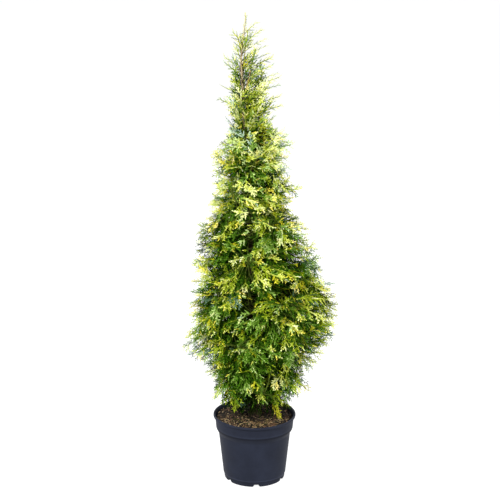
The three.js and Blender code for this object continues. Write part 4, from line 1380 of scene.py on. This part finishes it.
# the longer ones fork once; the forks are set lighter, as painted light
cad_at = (L3 > 0.0065) & (CO[idx] <= 1.1) & (rng.random(len(L3)) < 0.30)
h = L3[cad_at] * rng.uniform(0.35, 0.60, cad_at.sum())
fB, fN = B[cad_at], NB[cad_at]
fS = unit(np.cross(fN, fB)) * np.where(rng.random(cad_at.sum()) < 0.5, 1.0, -1.0)[:, None]
fD = unit(fB * 0.80 + fS * 0.60)
fP = P[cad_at] + fB * h[:, None]
K.append((fP, fD, unit(fN - fD * (fN * fD).sum(1, keepdims=True)), L3[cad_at] * 0.45, np.full(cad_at.sum(), 0.0028), FAM[idx][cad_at], SH[idx][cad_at] + 0.6 + 0.8 * u[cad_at], MS[idx][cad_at], np.ones(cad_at.sum(), bool)))

kp, kd, kn, kl, kw, kf, ks, km, ke = (np.concatenate([a[c] for a in K]) for c in range(9))
kw = np.where(ke, kw * 0.74, kw)
kl = np.where(ke, kl * 1.10, kl)
fine = (kw < 0.0036) & ~ke
cs = np.cross(kn, kd)
a2 = np.radians(9.0)
# each fine scale pair is split in two halves, one slightly lighter than the other, as painted light and shade
twin = []
for sgn in (1.0, -1.0):
    twin.append((
        (kp + cs * (kw * 0.16 * sgn)[:, None])[fine], (kd * np.cos(a2) + cs * np.sin(a2) * sgn)[fine], kn[fine],
        (kl * 0.97)[fine], (kw * 0.52)[fine], kf[fine], (ks + 0.12 * sgn)[fine], km[fine],
    ))
coarse_ones = tuple(x[~fine] for x in (kp, kd, kn, kl, kw, kf, ks, km))
kp, kd, kn, kl, kw, kf, ks, km = (np.concatenate([t[c] for t in (*twin, coarse_ones)]) for c in range(8))
print("scale pairs", len(kp), "triangles", 2 * len(kp))
print("shades", np.histogram(np.round(ks), [-9, -0.5, 0.5, 1.5, 2.5, 3.5, 9])[0] / len(ks))
shade = np.clip(np.round(ks), 0, 4).astype(int)
kmat = kf.astype(int) * 5 + shade
ksd = np.cross(kn, kd)
w2 = (kw / 2)[:, None]
l = kl[:, None]
wl = kp + kd * l * 0.54 + ksd * w2 - kn * kw[:, None] * 0.16
wr = kp + kd * l * 0.54 - ksd * w2 - kn * kw[:, None] * 0.16
tip = kp + kd * l + kn * 0.00025
quad = np.stack([kp, wr, tip, wl], 1)

GROUPS = [
    ("sprays_skirt", ["skirt"]),
    ("sprays_low", ["low"]),
    ("sprays_broad", ["broad"]),
    ("sprays_middle", ["middle"]),
    ("sprays_high", ["high"]),
    ("sprays_top", ["upper", "top", "crest"]),
]
for piece, tiers in GROUPS:
    names = [n for n in mass_names if masses[n]["tier"] in tiers]
    size = {n: 2 * int((km == mass_id[n]).sum()) for n in names}
    parts = [[]]
    for n in names:
        if parts[-1] and sum(size[x] for x in parts[-1]) + size[n] > 185000:
            parts.append([])
        parts[-1].append(n)
    for c, group in enumerate(parts):
        pick = np.isin(km, [mass_id[n] for n in group])
        q = quad[pick].reshape(-1, 3)
        n = pick.sum()
        b = np.arange(n)[:, None] * 4
        tri = np.concatenate([b + [0, 1, 2], b + [0, 2, 3]], 1).reshape(-1, 3)
        mats_used, inv = np.unique(kmat[pick], return_inverse=True)
        label = piece if len(parts) == 1 else f"{piece}_{c + 1}"
        o = add_mesh(label, q, tri, [leaf_mats[i] for i in mats_used], np.repeat(inv, 2))
        print(label, len(tri), group)
        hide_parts(*["foliage_" + x for x in group])
        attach(o, "root")

bo = boughs.build("boughs_bark", [bark_material("bough_bark", [(34, 25, 16), (60, 44, 29), (92, 70, 48)], [(92, 72, 46), (128, 102, 66), (158, 132, 88)], 0.6, 1.1, 1.4)])
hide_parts(*["bough_" + n for n in sorted(bough_names)])
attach(bo, "root")
tw = twigs.build("twigs", twig_mats)
print("twigs", len(tw.data.polygons), "boughs", len(bo.data.polygons))
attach(tw, "root")

lo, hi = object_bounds()
